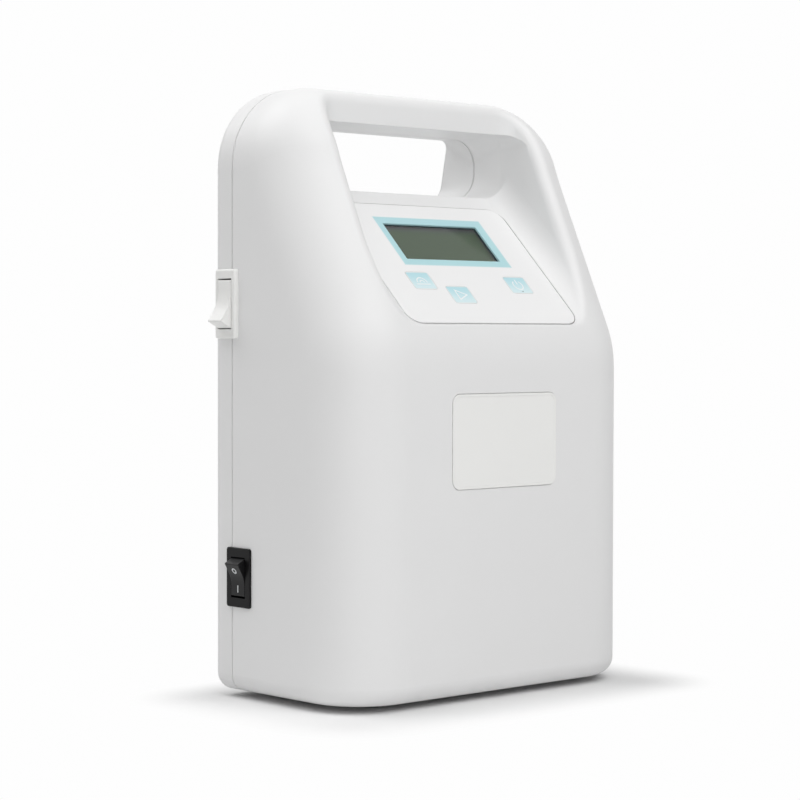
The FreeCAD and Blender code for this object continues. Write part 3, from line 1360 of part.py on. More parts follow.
def nipple_x(side):
    return PUMP_X + side * (HEAD_X + HEAD_CHAMBER_L / 2)


def pump_screws():
    """Long screws that clamp heads and diaphragms to the frame."""
    screws = []
    for side in (-1, 1):
        seat = side * (HEAD_X + HEAD_L)
        for dy, dz in head_screw_places():
            head = pump_rod(SMALL_HEAD_R, seat, seat + side * SMALL_HEAD_H, dy, dz)
            shank = pump_rod(SMALL_SCREW_R, side * (PUMP_FRAME_HALF_L - PUMP_PLATE_T), seat, dy, dz)
            screws.append(one(head.fuse(shank)))
    return group(screws)


# ---------------------------------------------------------------- valves and hoses
def valve_manifold():
    """The air block: a long gallery, a drilling under each valve, hose nipples in front and on top."""
    z = MANIFOLD_Z + MANIFOLD_H / 2
    block = box(MANIFOLD_LEFT_X, MANIFOLD_RIGHT_X, MANIFOLD_FRONT_Y, MANIFOLD_REAR_Y, MANIFOLD_Z,
                MANIFOLD_TOP_Z)
    nipples = []
    cuts = [rod(GALLERY_R, (MANIFOLD_LEFT_X - 1, MANIFOLD_Y, z), (MANIFOLD_RIGHT_X - 4, MANIFOLD_Y, z))]
    for side in (-1, 1):
        x = nipple_x(side)
        nipples.append(rod(NIPPLE_R, (x, MANIFOLD_FRONT_Y + 1, z), (x, MANIFOLD_FRONT_Y - NIPPLE_L, z)))
        cuts.append(rod(NIPPLE_BORE_R, (x, MANIFOLD_Y, z), (x, MANIFOLD_FRONT_Y - NIPPLE_L - 1, z)))
    for x in OUTLET_XS.values():
        nipples.append(rod(NIPPLE_R, (x, MANIFOLD_Y, MANIFOLD_TOP_Z - 1),
                           (x, MANIFOLD_Y, MANIFOLD_TOP_Z + NIPPLE_L)))
        cuts.append(rod(NIPPLE_BORE_R, (x, MANIFOLD_Y, z), (x, MANIFOLD_Y, MANIFOLD_TOP_Z + NIPPLE_L + 1)))
    for x in VALVE_XS:
        cuts.append(rod(NIPPLE_BORE_R, (x, MANIFOLD_Y, z), (x, MANIFOLD_Y, MANIFOLD_TOP_Z + 1)))
    for x in MANIFOLD_SCREW_XS:
        cuts.append(rod(SMALL_SCREW_R + SCREW_GAP / 2, (x, MANIFOLD_REAR_Y - SMALL_SCREW_L, z),
                        (x, MANIFOLD_REAR_Y + 1, z)))
    plug = rod(GALLERY_R - PIN_CLEARANCE, (MANIFOLD_LEFT_X, MANIFOLD_Y, z),
               (MANIFOLD_LEFT_X + 3, MANIFOLD_Y, z))
    return group([one(block.fuse(nipples).cut(cuts)), plug])


def valve_frames():
    """A steel bracket and plunger sleeve for each valve."""
    frames = []
    for x in VALVE_XS:
        z0 = MANIFOLD_TOP_Z
        z1 = z0 + VALVE_H
        shell = box(x - VALVE_W / 2, x + VALVE_W / 2, MANIFOLD_Y - VALVE_D / 2, MANIFOLD_Y + VALVE_D / 2, z0,
                    z1)
        inside = box(x - VALVE_W / 2 + VALVE_FRAME_T, x + VALVE_W / 2 - VALVE_FRAME_T, MANIFOLD_Y - VALVE_D,
                     MANIFOLD_Y + VALVE_D, z0 + VALVE_FRAME_T, z1 - VALVE_FRAME_T)
        sleeve = rod(VALVE_SLEEVE_R, (x, MANIFOLD_Y, z0), (x, MANIFOLD_Y, z1))
        bore = rod(PLUNGER_R + PLUNGER_GAP, (x, MANIFOLD_Y, z0 - 1), (x, MANIFOLD_Y, z1 - VALVE_FRAME_T))
        frames.append(one(shell.cut(inside).fuse(sleeve).cut(bore)))
    return group(frames)


def valve_coils():
    coils = []
    for x in VALVE_XS:
        z0 = MANIFOLD_TOP_Z + VALVE_FRAME_T
        z1 = MANIFOLD_TOP_Z + VALVE_H - VALVE_FRAME_T
        coil = rod(VALVE_W / 2 - VALVE_FRAME_T - COIL_GAP, (x, MANIFOLD_Y, z0), (x, MANIFOLD_Y, z1))
        coils.append(coil.cut(rod(VALVE_SLEEVE_R + COIL_GAP / 2, (x, MANIFOLD_Y, z0 - 1),
                                  (x, MANIFOLD_Y, z1 + 1))))
    return group(coils)


def valve_plunger(x):
    """A plunger that rests on its seat and lifts when its coil is on."""
    z0 = MANIFOLD_TOP_Z + PLUNGER_GAP / 2
    shape = rod(PLUNGER_R, (x, MANIFOLD_Y, z0), (x, MANIFOLD_Y, z0 + PLUNGER_L))
    well = rod(PLUNGER_R / 2, (x, MANIFOLD_Y, z0 + PLUNGER_L * 0.7), (x, MANIFOLD_Y, z0 + PLUNGER_L + 1))
    return one(shape.cut(well))


def pressure_sensor():
    """A small sensor block on the manifold's right end."""
    x1 = MANIFOLD_RIGHT_X - 1
    block = box(x1 - 9, x1, MANIFOLD_Y - 5, MANIFOLD_Y + 5, MANIFOLD_TOP_Z, MANIFOLD_TOP_Z + 6)
    return one(block.makeFillet(0.8, [e for e in block.Edges if e.BoundBox.ZMin > MANIFOLD_TOP_Z + 5.9]))


def hose(points):
    return tube(points, HOSE_R, HOSE_WALL)


def air_hoses():
    """Pump heads to manifold, and manifold to sockets."""
    hoses = []
    z = MANIFOLD_Z + MANIFOLD_H / 2
    for side in (-1, 1):
        x = nipple_x(side)
        top = PUMP_AXIS_Z + HEAD_HALF
        hoses.append(hose([(x, PUMP_Y, top + 1), (x, PUMP_Y, z), (x, MANIFOLD_FRONT_Y - 1, z)]))
    for name, x in OUTLET_XS.items():
        socket_z = SOCKET_ZS[name]
        end_x = SIDE_X - SOCKET_STEM_L - 1
        hoses.append(hose([(x, MANIFOLD_Y, MANIFOLD_TOP_Z + 1), (x, MANIFOLD_Y, socket_z),
                           (end_x, SOCKET_Y, socket_z)]))
    return group(hoses)


# ---------------------------------------------------------------- mains supply
def supply_board():
    board = box(SUPPLY_LEFT_X, SUPPLY_RIGHT_X, SUPPLY_Y, SUPPLY_BACK_Y, SUPPLY_FLOOR_Z, SUPPLY_TOP_Z)
    radius = SMALL_SCREW_R + SCREW_GAP
    holes = [rod(radius, (x, SUPPLY_Y - 1, z), (x, SUPPLY_BACK_Y + 1, z)) for x, z in supply_post_places()]
    return one(board.cut(holes))


def supply_transformer():
    """A laminated core round a square winding."""
    x0 = TRANSFORMER_X - TRANSFORMER_W / 2
    x1 = TRANSFORMER_X + TRANSFORMER_W / 2
    z0 = TRANSFORMER_Z - TRANSFORMER_STACK / 2
    z1 = TRANSFORMER_Z + TRANSFORMER_STACK / 2
    y1 = SUPPLY_BACK_Y + TRANSFORMER_D
    core = box(x0, x1, SUPPLY_BACK_Y, y1, z0, z1)
    leg = TRANSFORMER_W / 6
    for side in (-1, 1):
        a, b = sorted((TRANSFORMER_X + side * leg, TRANSFORMER_X + side * 2 * leg))
        core = core.cut(box(a, b, SUPPLY_BACK_Y + leg, y1 - leg, z0 - 1, z1 + 1))
    gap = COIL_GAP
    winding = box(TRANSFORMER_X - 2 * leg + gap, TRANSFORMER_X + 2 * leg - gap, SUPPLY_BACK_Y + leg + gap,
                  y1 - leg - gap, TRANSFORMER_Z - TRANSFORMER_H / 2, TRANSFORMER_Z + TRANSFORMER_H / 2)
    winding = winding.cut(box(TRANSFORMER_X - leg - gap, TRANSFORMER_X + leg + gap, SUPPLY_BACK_Y, y1,
                              z0 - gap, z1 + gap))
    return one(core), winding


def supply_capacitors():
    cans = []
    x = CAPACITOR_X
    for z in (CAPACITOR_LOW_Z, CAPACITOR_HIGH_Z):
        can = rod(CAPACITOR_R, (x, SUPPLY_BACK_Y, z), (x, SUPPLY_BACK_Y + CAPACITOR_L, z))
        rim = [e for e in can.Edges if mid(e).y > SUPPLY_BACK_Y + CAPACITOR_L - 0.01
               and e.Length > CAPACITOR_R * 3]
        cans.append(can.makeFillet(1.0, rim))
    return group(cans)


def supply_heat_sink():
    """A finned aluminium block."""
    x0 = HEAT_SINK_X - HEAT_SINK_W / 2
    z0 = HEAT_SINK_Z - HEAT_SINK_H / 2
    z1 = HEAT_SINK_Z + HEAT_SINK_H / 2
    sink = box(x0, x0 + HEAT_SINK_W, SUPPLY_BACK_Y, SUPPLY_BACK_Y + 3, z0, z1)
    pitch = (HEAT_SINK_W - FIN_T) / (HEAT_SINK_FINS - 1)
    for i in range(HEAT_SINK_FINS):
        x = x0 + i * pitch
        sink = sink.fuse(box(x, x + FIN_T, SUPPLY_BACK_Y, SUPPLY_BACK_Y + HEAT_SINK_D, z0, z1))
    return one(sink)


def supply_fuse():
    """A glass fuse in two clips, drawn as one bar with two cradles."""
    z = SUPPLY_TOP_Z - FUSE_DROP
    y = SUPPLY_BACK_Y + FUSE_RISE
    x0 = SUPPLY_LEFT_X + FUSE_INSET
    x1 = x0 + FUSE_L
    bar = rod(FUSE_R, (x0, y, z), (x1, y, z))
    half = FUSE_RISE / 2
    clips = [box(x, x + FUSE_CLIP_W, SUPPLY_BACK_Y, y, z - half, z + half) for x in (x0, x1 - FUSE_CLIP_W)]
    return one(bar.fuse(clips))


def supply_terminals():
    """The mains terminal block and the ribbon's header."""
    block = box(TERMINAL_X - TERMINAL_W / 2, TERMINAL_X + TERMINAL_W / 2, SUPPLY_BACK_Y,
                SUPPLY_BACK_Y + TERMINAL_D, SUPPLY_FLOOR_Z, SUPPLY_FLOOR_Z + TERMINAL_H)
    for x in terminal_xs():
        y = SUPPLY_BACK_Y + TERMINAL_D / 2
        block = block.cut(rod(WIRE_R + SCREW_GAP, (x, y, SUPPLY_FLOOR_Z - 1),
                              (x, y, SUPPLY_FLOOR_Z + TERMINAL_H / 2)))
    header_w = RIBBON_W / 2 + HEADER_MARGIN
    header_top = SUPPLY_TOP_Z - HEADER_W / 2
    header = box(-header_w, header_w, SUPPLY_BACK_Y, SUPPLY_BACK_Y + HEADER_T, header_top - HEADER_W,
                 header_top)
    return group([one(block), header])


def terminal_xs():
    return [TERMINAL_X - TERMINAL_W / 4, TERMINAL_X + TERMINAL_W / 4]


def mains_wires():
    """Inlet to switch, and switch to the supply board."""
    wires = []
    tab_x = -SIDE_X + POWER_SWITCH["depth"] + TAB_L
    spread = POWER_SWITCH["body_h"] / 4
    inlet_y = REAR_Y + INLET_PROUD - INLET_BODY_L - TAB_L / 2
    for i, side in enumerate((-1, 1)):
        x = INLET_X + side * INLET_PIN_PITCH / 2
        y = switch_y(POWER_SWITCH) + side * POWER_SWITCH["body_w"] / 4
        low_z = POWER_SWITCH["z"] - spread
        turn_y = inlet_y - 8 - 4 * i
        wires.append(wire_run([(x, inlet_y, INLET_Z), (x, turn_y, INLET_Z), (x, turn_y, low_z),
                               (x, y, low_z), (tab_x, y, low_z)]))
        high_z = POWER_SWITCH["z"] + spread
        end_x = terminal_xs()[i]
        end_y = SUPPLY_BACK_Y + TERMINAL_D / 2
        wires.append(wire_run([(tab_x, y, high_z), (end_x, y, high_z), (end_x, 0, high_z + 10),
                               (end_x, end_y, high_z + 12), (end_x, end_y, SUPPLY_FLOOR_Z)]))
    return group(wires)


def ribbon_cable():
    """The flat cable from the supply board's header to the control board's."""
    low_v = CONTROL_BOARD_TOP_V - CONTROL_BOARD_H + HEADER_RISE + HEADER_W / 2
    depth = CONTROL_BOARD_DEPTH + BOARD_T + HEADER_T
    upper = V(0, PANEL_Y + low_v * sin(TILT) + depth * cos(TILT),
              PANEL_Z + low_v * cos(TILT) - depth * sin(TILT))
    out = V(0, cos(TILT), -sin(TILT)) * RIBBON_UPPER_LEAD
    lower = V(0, SUPPLY_BACK_Y + HEADER_T, SUPPLY_TOP_Z - HEADER_W)
    turn = upper + out

    def strip(start, along):
        side = X * (RIBBON_W / 2)
        thick = along.cross(X) * (RIBBON_T / 2)
        corners = [start + side + thick, start - side + thick, start - side - thick, start + side - thick]
        return Part.makePolygon(corners + corners[:1])
    points = [tuple(lower), (0, lower.y + RIBBON_LOWER_LEAD, lower.z), tuple(turn), tuple(upper)]
    return swept(points, strip)


# ---------------------------------------------------------------- all pieces
def pieces():
    """Every node's name with its shape."""
    shell = case_shell()
    transformer_core, transformer_winding = supply_transformer()
    nodes = {
        "front_casing": front_casing(shell),
        "rear_cover": rear_cover(shell),
        "casing_screws": casing_screws(),
        "feet": feet(),
        "label_plate": label_plate(),
        "control_panel": control_panel(),
        "display_window": display_window(),
        "keypad_circuit": keypad_circuit(),
        "key_domes": key_domes(),
        "display_glass": display_glass(),
        "display_backlight": display_backlight(),
        "display_bezel": display_bezel(),
        "display_board": display_board(),
        "control_board": control_board(),
        "control_chips": control_chips(),
        "buzzer": buzzer(),
        "small_screws": small_screws(),
        "power_switch_frame": switch_frame(POWER_SWITCH),
        "power_rocker": rocker(POWER_SWITCH),
        "power_switch_tabs": switch_tabs(POWER_SWITCH, 4),
        "side_switch_frame": switch_frame(SIDE_SWITCH),
        "side_rocker": rocker(SIDE_SWITCH),
        "side_switch_tabs": switch_tabs(SIDE_SWITCH, 2),
        "mains_inlet": mains_inlet(),
        "inlet_pins": inlet_pins(),
        "inlet_screws": inlet_screws(),
        "intake_filter": intake_filter(),
        "socket_nuts": socket_nuts(),
        "socket_seals": socket_seals(),
        "chassis": chassis(),
        "pump_mounts": pump_mounts(),
        "pump_frame": pump_frame(),
        "pump_core": pump_core(),
        "pump_coils": pump_coils(),
        "pump_armature": pump_armature(),
        "pump_diaphragms": pump_diaphragms(),
        "pump_heads": pump_heads(),
        "pump_screws": pump_screws(),
        "valve_manifold": valve_manifold(),
        "valve_frames": valve_frames(),
        "valve_coils": valve_coils(),
        "pressure_sensor": pressure_sensor(),
        "air_hoses": air_hoses(),
        "supply_board": supply_board(),
        "transformer_core": transformer_core,
        "transformer_winding": transformer_winding,
        "supply_capacitors": supply_capacitors(),
        "supply_heat_sink": supply_heat_sink(),
        "supply_fuse": supply_fuse(),
        "supply_terminals": supply_terminals(),
        "mains_wires": mains_wires(),
        "ribbon_cable": ribbon_cable(),
    }
    for name, place in KEYS.items():
        nodes[name] = key(place)
    for name, z in SOCKET_ZS.items():
        nodes[name] = hose_socket(z)
    for i, x in enumerate(VALVE_XS):
        nodes[f"valve_plunger_{i + 1}"] = valve_plunger(x)
    return nodes


os.makedirs("parts", exist_ok=True)
for node, shape in pieces().items():
    shape.exportStep(f"parts/{node}.step")
    volume = sum(solid.Volume for solid in shape.Solids)
    print(node, len(shape.Solids), "solids", round(volume), "mm3", "valid"
          if shape.isValid() else "NOT VALID")
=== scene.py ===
"""The looks of a compression therapy pump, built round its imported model.

Sizes in the classes are in millimetres and the scene is in metres. X points right as seen from the front, Y
to the rear and Z up, from an origin on the floor under the middle of the case."""
import logging
from dataclasses import dataclass
from enum import Enum
from functools import cache
from math import atan2, cos, pi, radians, sin
from typing import Union

import bpy
from mathutils import Matrix, Vector
from mathutils.bvhtree import BVHTree


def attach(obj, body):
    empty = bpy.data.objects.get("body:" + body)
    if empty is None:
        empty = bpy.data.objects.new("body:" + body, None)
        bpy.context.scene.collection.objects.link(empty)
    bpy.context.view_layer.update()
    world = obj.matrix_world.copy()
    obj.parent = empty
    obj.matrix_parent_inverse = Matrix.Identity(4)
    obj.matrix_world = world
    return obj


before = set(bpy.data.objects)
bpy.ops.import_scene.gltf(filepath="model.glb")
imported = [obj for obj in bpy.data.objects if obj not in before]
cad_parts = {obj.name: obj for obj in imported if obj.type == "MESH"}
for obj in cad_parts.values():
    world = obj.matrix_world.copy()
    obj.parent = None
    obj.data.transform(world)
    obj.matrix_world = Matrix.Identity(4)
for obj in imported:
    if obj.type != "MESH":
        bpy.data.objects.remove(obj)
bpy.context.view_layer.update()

log = logging.getLogger("looks")

MM = 0.001
# A wave texture repeats each pi / 10 of its own units at scale 1.
WAVE_PERIOD = pi / 10
# The least cosine that a printed corner is mitred by, so that a sharp turn doesn't spike.
MITRE_LIMIT = 0.4
# A colour mix takes its sockets by number, because their names repeat for each kind of data.
SHARE, FIRST, SECOND, MIXED = 0, 6, 7, 2
WHITE = (1.0, 1.0, 1.0, 1.0)

Point = tuple[float, float]
Triple = tuple[float, float, float]
Source = bpy.types.NodeSocket
Value = Union[Source, float, tuple, Vector]


# ---------------------------------------------------------------- colours and nodes
def linear(colour: str) -> tuple[float, float, float, float]:
    """Turns an sRGB colour into the linear one that a shader takes.

    Args:
        colour: the colour as "#rrggbb".

    Returns:
        Red, green, blue and an alpha of 1.
    """
    parts = [int(colour[i:i + 2], 16) / 255 for i in (1, 3, 5)]
    red, green, blue = [c / 12.92 if c <= 0.04045 else ((c + 0.055) / 1.055) ** 2.4 for c in parts]
    return red, green, blue, 1.0


def add(tree: bpy.types.NodeTree, kind: str, links: dict[Union[int, str], Value],
        **settings: object) -> bpy.types.Node:
    """Adds one node with its settings and links.

    Args:
        tree: the node tree that it goes into.
        kind: the node's type without its ShaderNode prefix.
        links: a value or a source socket for each input, by name or number.
        settings: attributes of the node.

    Returns:
        The new node.
    """
    node = tree.nodes.new("ShaderNode" + kind)
    for name, value in settings.items():
        setattr(node, name, value)
    for key, value in links.items():
        if isinstance(value, Source):
            tree.links.new(value, node.inputs[key])
        else:
            node.inputs[key].default_value = value
    return node


def backdrop_rays(tree: bpy.types.NodeTree) -> Source:
    """Marks the rays that see the pale background: the camera's own, and those from a gloss or through glass.

    Args:
        tree: the node tree that asks.

    Returns:
        1 for such a ray, and 0 for one that lights the object.
    """
    path = add(tree, "LightPath", {})
    seen = path.outputs["Is Camera Ray"]
    for name in ("Is Glossy Ray", "Is Transmission Ray"):
        seen = add(tree, "Math", {0: seen, 1: path.outputs[name]}, operation="MAXIMUM").outputs[0]
    return seen


# ---------------------------------------------------------------- places on the case
@dataclass(frozen=True)
class Place:
    """A local frame on the case: an origin in millimetres and three axes."""
    origin: Vector
    right: Vector
    up: Vector
    out: Vector

    def at(self, u: float, v: float, n: float) -> Vector:
        """Gives the scene's point, in metres, for a point of this frame."""
        return (self.origin + self.right * u + self.up * v + self.out * n) * MM

    def tipped(self, angle: float) -> "Place":
        """Turns this frame about its right axis.

        Args:
            angle: the turn in radians, which takes the up axis outward.

        Returns:
            The turned frame, with the same origin.
        """
        up = self.up * cos(angle) + self.out * sin(angle)
        out = self.out * cos(angle) - self.up * sin(angle)
        return Place(self.origin, self.right, up, out)

    def moved(self, v: float, n: float) -> "Place":
        """Gives this frame with its origin moved along its up and out axes."""
        return Place(self.origin + self.up * v + self.out * n, self.right, self.up, self.out)


# The sloped panel's own frame: its origin is on the upper edge of the display's window, and up runs up the
# slope.
PANEL_TILT = radians(45.2)
PANEL = Place(Vector((0.0, 2.25, 227.45)), Vector((1, 0, 0)), Vector((0, sin(PANEL_TILT), cos(PANEL_TILT))),
              Vector((0, -cos(PANEL_TILT), sin(PANEL_TILT))))


# ---------------------------------------------------------------- finishes
class Axis(Enum):
    """The direction in which a pattern's lines follow each other."""
    X = "X"
    Y = "Y"
    Z = "Z"


class Working(Enum):
    """How a metal surface was made, as the stretch of its marks."""
    DRAWN = (0.15, 1.0, 6.0)
    TURNED = (1.0, 0.2, 1.0)
    CAST = (1.0, 1.0, 1.0)


@dataclass
class Skin:
    """A material in the making, with what its patterns start from.

    The position is the point on the object in millimetres, and the corner is the normal with soft edges."""
    tree: bpy.types.NodeTree
    shader: bpy.types.Node
    position: Source
    corner: Source

    def add(self, kind: str, links: dict[Union[int, str], Value], **settings: object) -> bpy.types.Node:
        """Adds one node to the material."""
        return add(self.tree, kind, links, **settings)

    def relief(self, height: Source, depth: float) -> dict[str, Value]:
        """Gives a bump's links: its height, its depth in millimetres and the softened corners."""
        return {"Height": height, "Distance": depth * MM, "Normal": self.corner}

    def drive(self, **sources: Source) -> None:
        """Links sources to the shader's inputs, which they name with _ for a space."""
        for name, source in sources.items():
            self.tree.links.new(source, self.shader.inputs[name.replace("_", " ")])

    def past_rectangle(self, centre: Point, size: Point) -> Source:
        """Measures how far a point of the sloped panel lies outside a rectangle.

        Args:
            centre: the rectangle's centre on the panel.
            size: its width and height.

        Returns:
            The distance in millimetres, negative inside.
        """
        place = self.add("VectorMath", {0: self.position, 1: PANEL.origin}, operation="SUBTRACT").outputs[0]
        reach = []
        for axis, middle, length in zip((PANEL.right, PANEL.up), centre, size):
            value = self.add("VectorMath", {0: place, 1: axis}, operation="DOT_PRODUCT").outputs["Value"]
            offset = self.add("Math", {0: value, 1: middle}, operation="SUBTRACT").outputs[0]
            offset = self.add("Math", {0: offset}, operation="ABSOLUTE").outputs[0]
            reach.append(self.add("Math", {0: offset, 1: length / 2}, operation="SUBTRACT").outputs[0])
        return self.add("Math", {0: reach[0], 1: reach[1]}, operation="MAXIMUM").outputs[0]

    def up_panel(self, low: float, high: float) -> Source:
        """Gives a value that rises smoothly from 0 to 1 between two heights on the sloped panel.

        Args:
            low: the height where it starts, in millimetres along the slope.
            high: the height where it ends.

        Returns:
            The rising value.
        """
        place = self.add("VectorMath", {0: self.position, 1: PANEL.origin}, operation="SUBTRACT").outputs[0]
        along = self.add("VectorMath", {0: place, 1: PANEL.up}, operation="DOT_PRODUCT").outputs["Value"]
        return self.add("MapRange", {"Value": along, "From Min": low, "From Max": high},
                        interpolation_type="SMOOTHSTEP").outputs[0]


@dataclass(frozen=True)
class Finish:
    """What each finish starts from. The edge is the radius that moulding or tumbling leaves on corners."""
    name: str
    colour: str
    roughness: float
    metallic: float = 0.0
    ior: float = 1.5
    edge: float = 0.25

    def build(self) -> bpy.types.Material:
        """Makes the material: constants on the shader, then the surface that the finish gives it.

        Returns:
            The new material.
        """
        material = bpy.data.materials.new(self.name)
        material.use_nodes = True
        tree = material.node_tree
        shader = tree.nodes["Principled BSDF"]
        shader.inputs["Base Color"].default_value = linear(self.colour)
        shader.inputs["Roughness"].default_value = self.roughness
        shader.inputs["Metallic"].default_value = self.metallic
        if not self.metallic:
            shader.inputs["IOR"].default_value = self.ior
        position = add(tree, "VectorMath", {0: add(tree, "TexCoord", {}).outputs["Object"], "Scale": 1 / MM},
                       operation="SCALE").outputs[0]
        corner = add(tree, "Bevel", {"Radius": self.edge * MM}, samples=4).outputs[0]
        self.surface(Skin(tree, shader, position, corner))
        return material

    def surface(self, skin: Skin) -> None:
        """Adds the pattern of the surface to the material in the making."""
        raise NotImplementedError

    def tinted(self, skin: Skin, mask: Source, low: float, high: float) -> Source:
        """Varies the base colour between two brightnesses of the finish's own colour.

        Args:
            skin: the material in the making.
            mask: where the colour goes from low to high.
            low: brightness at 0, as a share of the colour.
            high: brightness at 1.

        Returns:
            The varied colour.
        """
        red, green, blue, alpha = linear(self.colour)
        ends = [(red * share, green * share, blue * share, alpha) for share in (low, high)]
        mix = skin.add("Mix", {SHARE: mask, FIRST: ends[0], SECOND: ends[1]}, data_type="RGBA").outputs[MIXED]
        skin.drive(Base_Color=mix)
        return mix


@dataclass(frozen=True)
class MouldedPlastic(Finish):
    """A thermoplastic shot into a spark-eroded mould: an even skin of tiny pits.

    The grain is the pits' spacing. Real ones lie about 0.1 mm apart, which is too fine to show, so each grain
    is drawn coarser. The flow is the width of the cloudy shades, as wide as a melt front."""
    grain: float = 0.9
    depth: float = 0.006
    gloss_spread: float = 0.05
    flow: float = 55.0
    mottle: float = 0.012
    specular: float = 0.5

    def surface(self, skin: Skin) -> None:
        """Adds the mould's fine pits, and the cloudy shade that melt flow leaves.

        Args:
            skin: the material in the making.
        """
        at = skin.position
        pits = skin.add("TexNoise", {"Vector": at, "Scale": 1 / self.grain, "Detail": 3.0}).outputs[0]
        flow = skin.add("TexNoise", {"Vector": at, "Scale": 1 / self.flow, "Detail": 2.0}).outputs[0]
        gloss = skin.add("MapRange", {"Value": pits, "To Min": self.roughness - self.gloss_spread,
                                      "To Max": self.roughness + self.gloss_spread}).outputs[0]
        bump = skin.add("Bump", skin.relief(pits, self.depth)).outputs[0]
        skin.shader.inputs["Specular IOR Level"].default_value = self.specular
        self.tinted(skin, flow, 1.0 - self.mottle, 1.0 + self.mottle)
        skin.drive(Roughness=gloss, Normal=bump)


@dataclass(frozen=True)
class Patch:
    """A printed rectangle on the sloped panel, with its soft edge."""
    centre: Point
    size: Point
    soft: float
    colour: str
    low_colour: str


@dataclass(frozen=True)
class ScreenPrintedFilm(MouldedPlastic):
    """Polyester keypad film, printed from behind: smooth, faintly rippled, with inks that end softly.

    The grain is the spacing of the ripples that lamination leaves."""
    patches: tuple[Patch, ...] = ()
    grain: float = 2.4
    depth: float = 0.004

    def surface(self, skin: Skin) -> None:
        """Adds the film's ripple and its printed rectangles, one over the other.

        Args:
            skin: the material in the making.
        """
        super().surface(skin)
        colour = skin.shader.inputs["Base Color"].links[0].from_socket
        for patch in self.patches:
            past = skin.past_rectangle(patch.centre, patch.size)
            mask = skin.add("MapRange", {"Value": past, "From Min": -patch.soft, "From Max": patch.soft,
                                         "To Min": 1.0, "To Max": 0.0},
                            interpolation_type="SMOOTHSTEP").outputs[0]
            low = patch.centre[1] - patch.size[1] / 2
            ink = skin.add("Mix", {SHARE: skin.up_panel(low, low + patch.size[1]),
                                   FIRST: linear(patch.low_colour), SECOND: linear(patch.colour)},
                           data_type="RGBA").outputs[MIXED]
            colour = skin.add("Mix", {SHARE: mask, FIRST: colour, SECOND: ink},
                              data_type="RGBA").outputs[MIXED]
        skin.drive(Base_Color=colour)


@dataclass(frozen=True)
class LiquidCrystal(Finish):
    """A switched-off reflective display: glass under a dull olive polariser, with painted shade at its top
    edge.

    The painted shade stands in for the shadow of the window's upper lip, and rises between two heights on the
    sloped panel. The streaks run across it."""
    gloss: float = 0.05
    # Painted shade at the display's top edge, from the window's upper lip, and the heights where it starts
    # and ends.
    top_shade: str = "#454a50"
    top_shade_from: float = -4.5
    top_shade_to: float = 0.5
    streak: float = 4.0
    stretch: Triple = (0.13, 1.0, 1.0)
    haze: float = 0.07

    def surface(self, skin: Skin) -> None:
        """Adds the painted shade band at the top edge and the polariser's faint streaks.

        Args:
            skin: the material in the making.
        """
        skin.shader.inputs["Specular IOR Level"].default_value = self.gloss
        along = skin.add("VectorMath", {0: skin.position, 1: self.stretch}, operation="MULTIPLY").outputs[0]
        streaks = skin.add("TexNoise", {"Vector": along, "Scale": 1 / self.streak, "Detail": 1.0}).outputs[0]
        ground = self.tinted(skin, streaks, 1.0 - self.haze, 1.0 + self.haze)
        # Mixes in the painted shade towards the top edge.
        mix = skin.add("Mix", {SHARE: skin.up_panel(self.top_shade_from, self.top_shade_to), FIRST: ground,
                               SECOND: linear(self.top_shade)}, data_type="RGBA").outputs[MIXED]
        skin.drive(Base_Color=mix, Normal=skin.corner)


@dataclass(frozen=True)
class PolishedAcrylic(Finish):
    """Cast acrylic lens: clear and glossy, with a black printed line round its window, which stands partly
    for the display's dark border and partly for painted shadow from the window's lip.

    The size is the lens's, and the middle is its height on the sloped panel."""
    size: Point = (62.6, 25.0)
    middle: float = -12.5
    line: float = 0.7
    soft: float = 0.1
    # The line's colour: the display's dark border, with painted shadow from the window's lip.
    ink: str = "#1b1d1e"

    def surface(self, skin: Skin) -> None:
        """Lets light straight through, mirrors the room on its outer face, and adds the black line, part
        print and part painted shadow.

        Args:
            skin: the material in the making.
        """
        clear_size = (self.size[0] - 2 * self.line, self.size[1] - 2 * self.line)
        past = skin.past_rectangle((0.0, self.middle), clear_size)
        mask = skin.add("MapRange", {"Value": past, "From Min": -self.soft, "From Max": self.soft}).outputs[0]
        inner = skin.add("NewGeometry", {}).outputs["Backfacing"]
        outer = skin.add("Math", {0: 1.0, 1: inner}, operation="SUBTRACT").outputs[0]
        angle = skin.add("Fresnel", {"IOR": self.ior}).outputs[0]
        share = skin.add("Math", {0: angle, 1: outer}, operation="MULTIPLY").outputs[0]
        clear = skin.add("BsdfTransparent", {"Color": linear(self.colour)}).outputs[0]
        mirror = skin.add("BsdfGlossy", {"Color": WHITE, "Roughness": self.roughness}).outputs[0]
        lens = skin.add("MixShader", {0: share, 1: clear, 2: mirror}).outputs[0]
        # The black line: the display's border, with painted shadow from the window's lip.
        skin.shader.inputs["Base Color"].default_value = linear(self.ink)
        shown = skin.add("MixShader", {0: mask, 1: lens, 2: skin.shader.outputs[0]}).outputs[0]
        skin.tree.links.new(shown, skin.tree.nodes["Material Output"].inputs["Surface"])


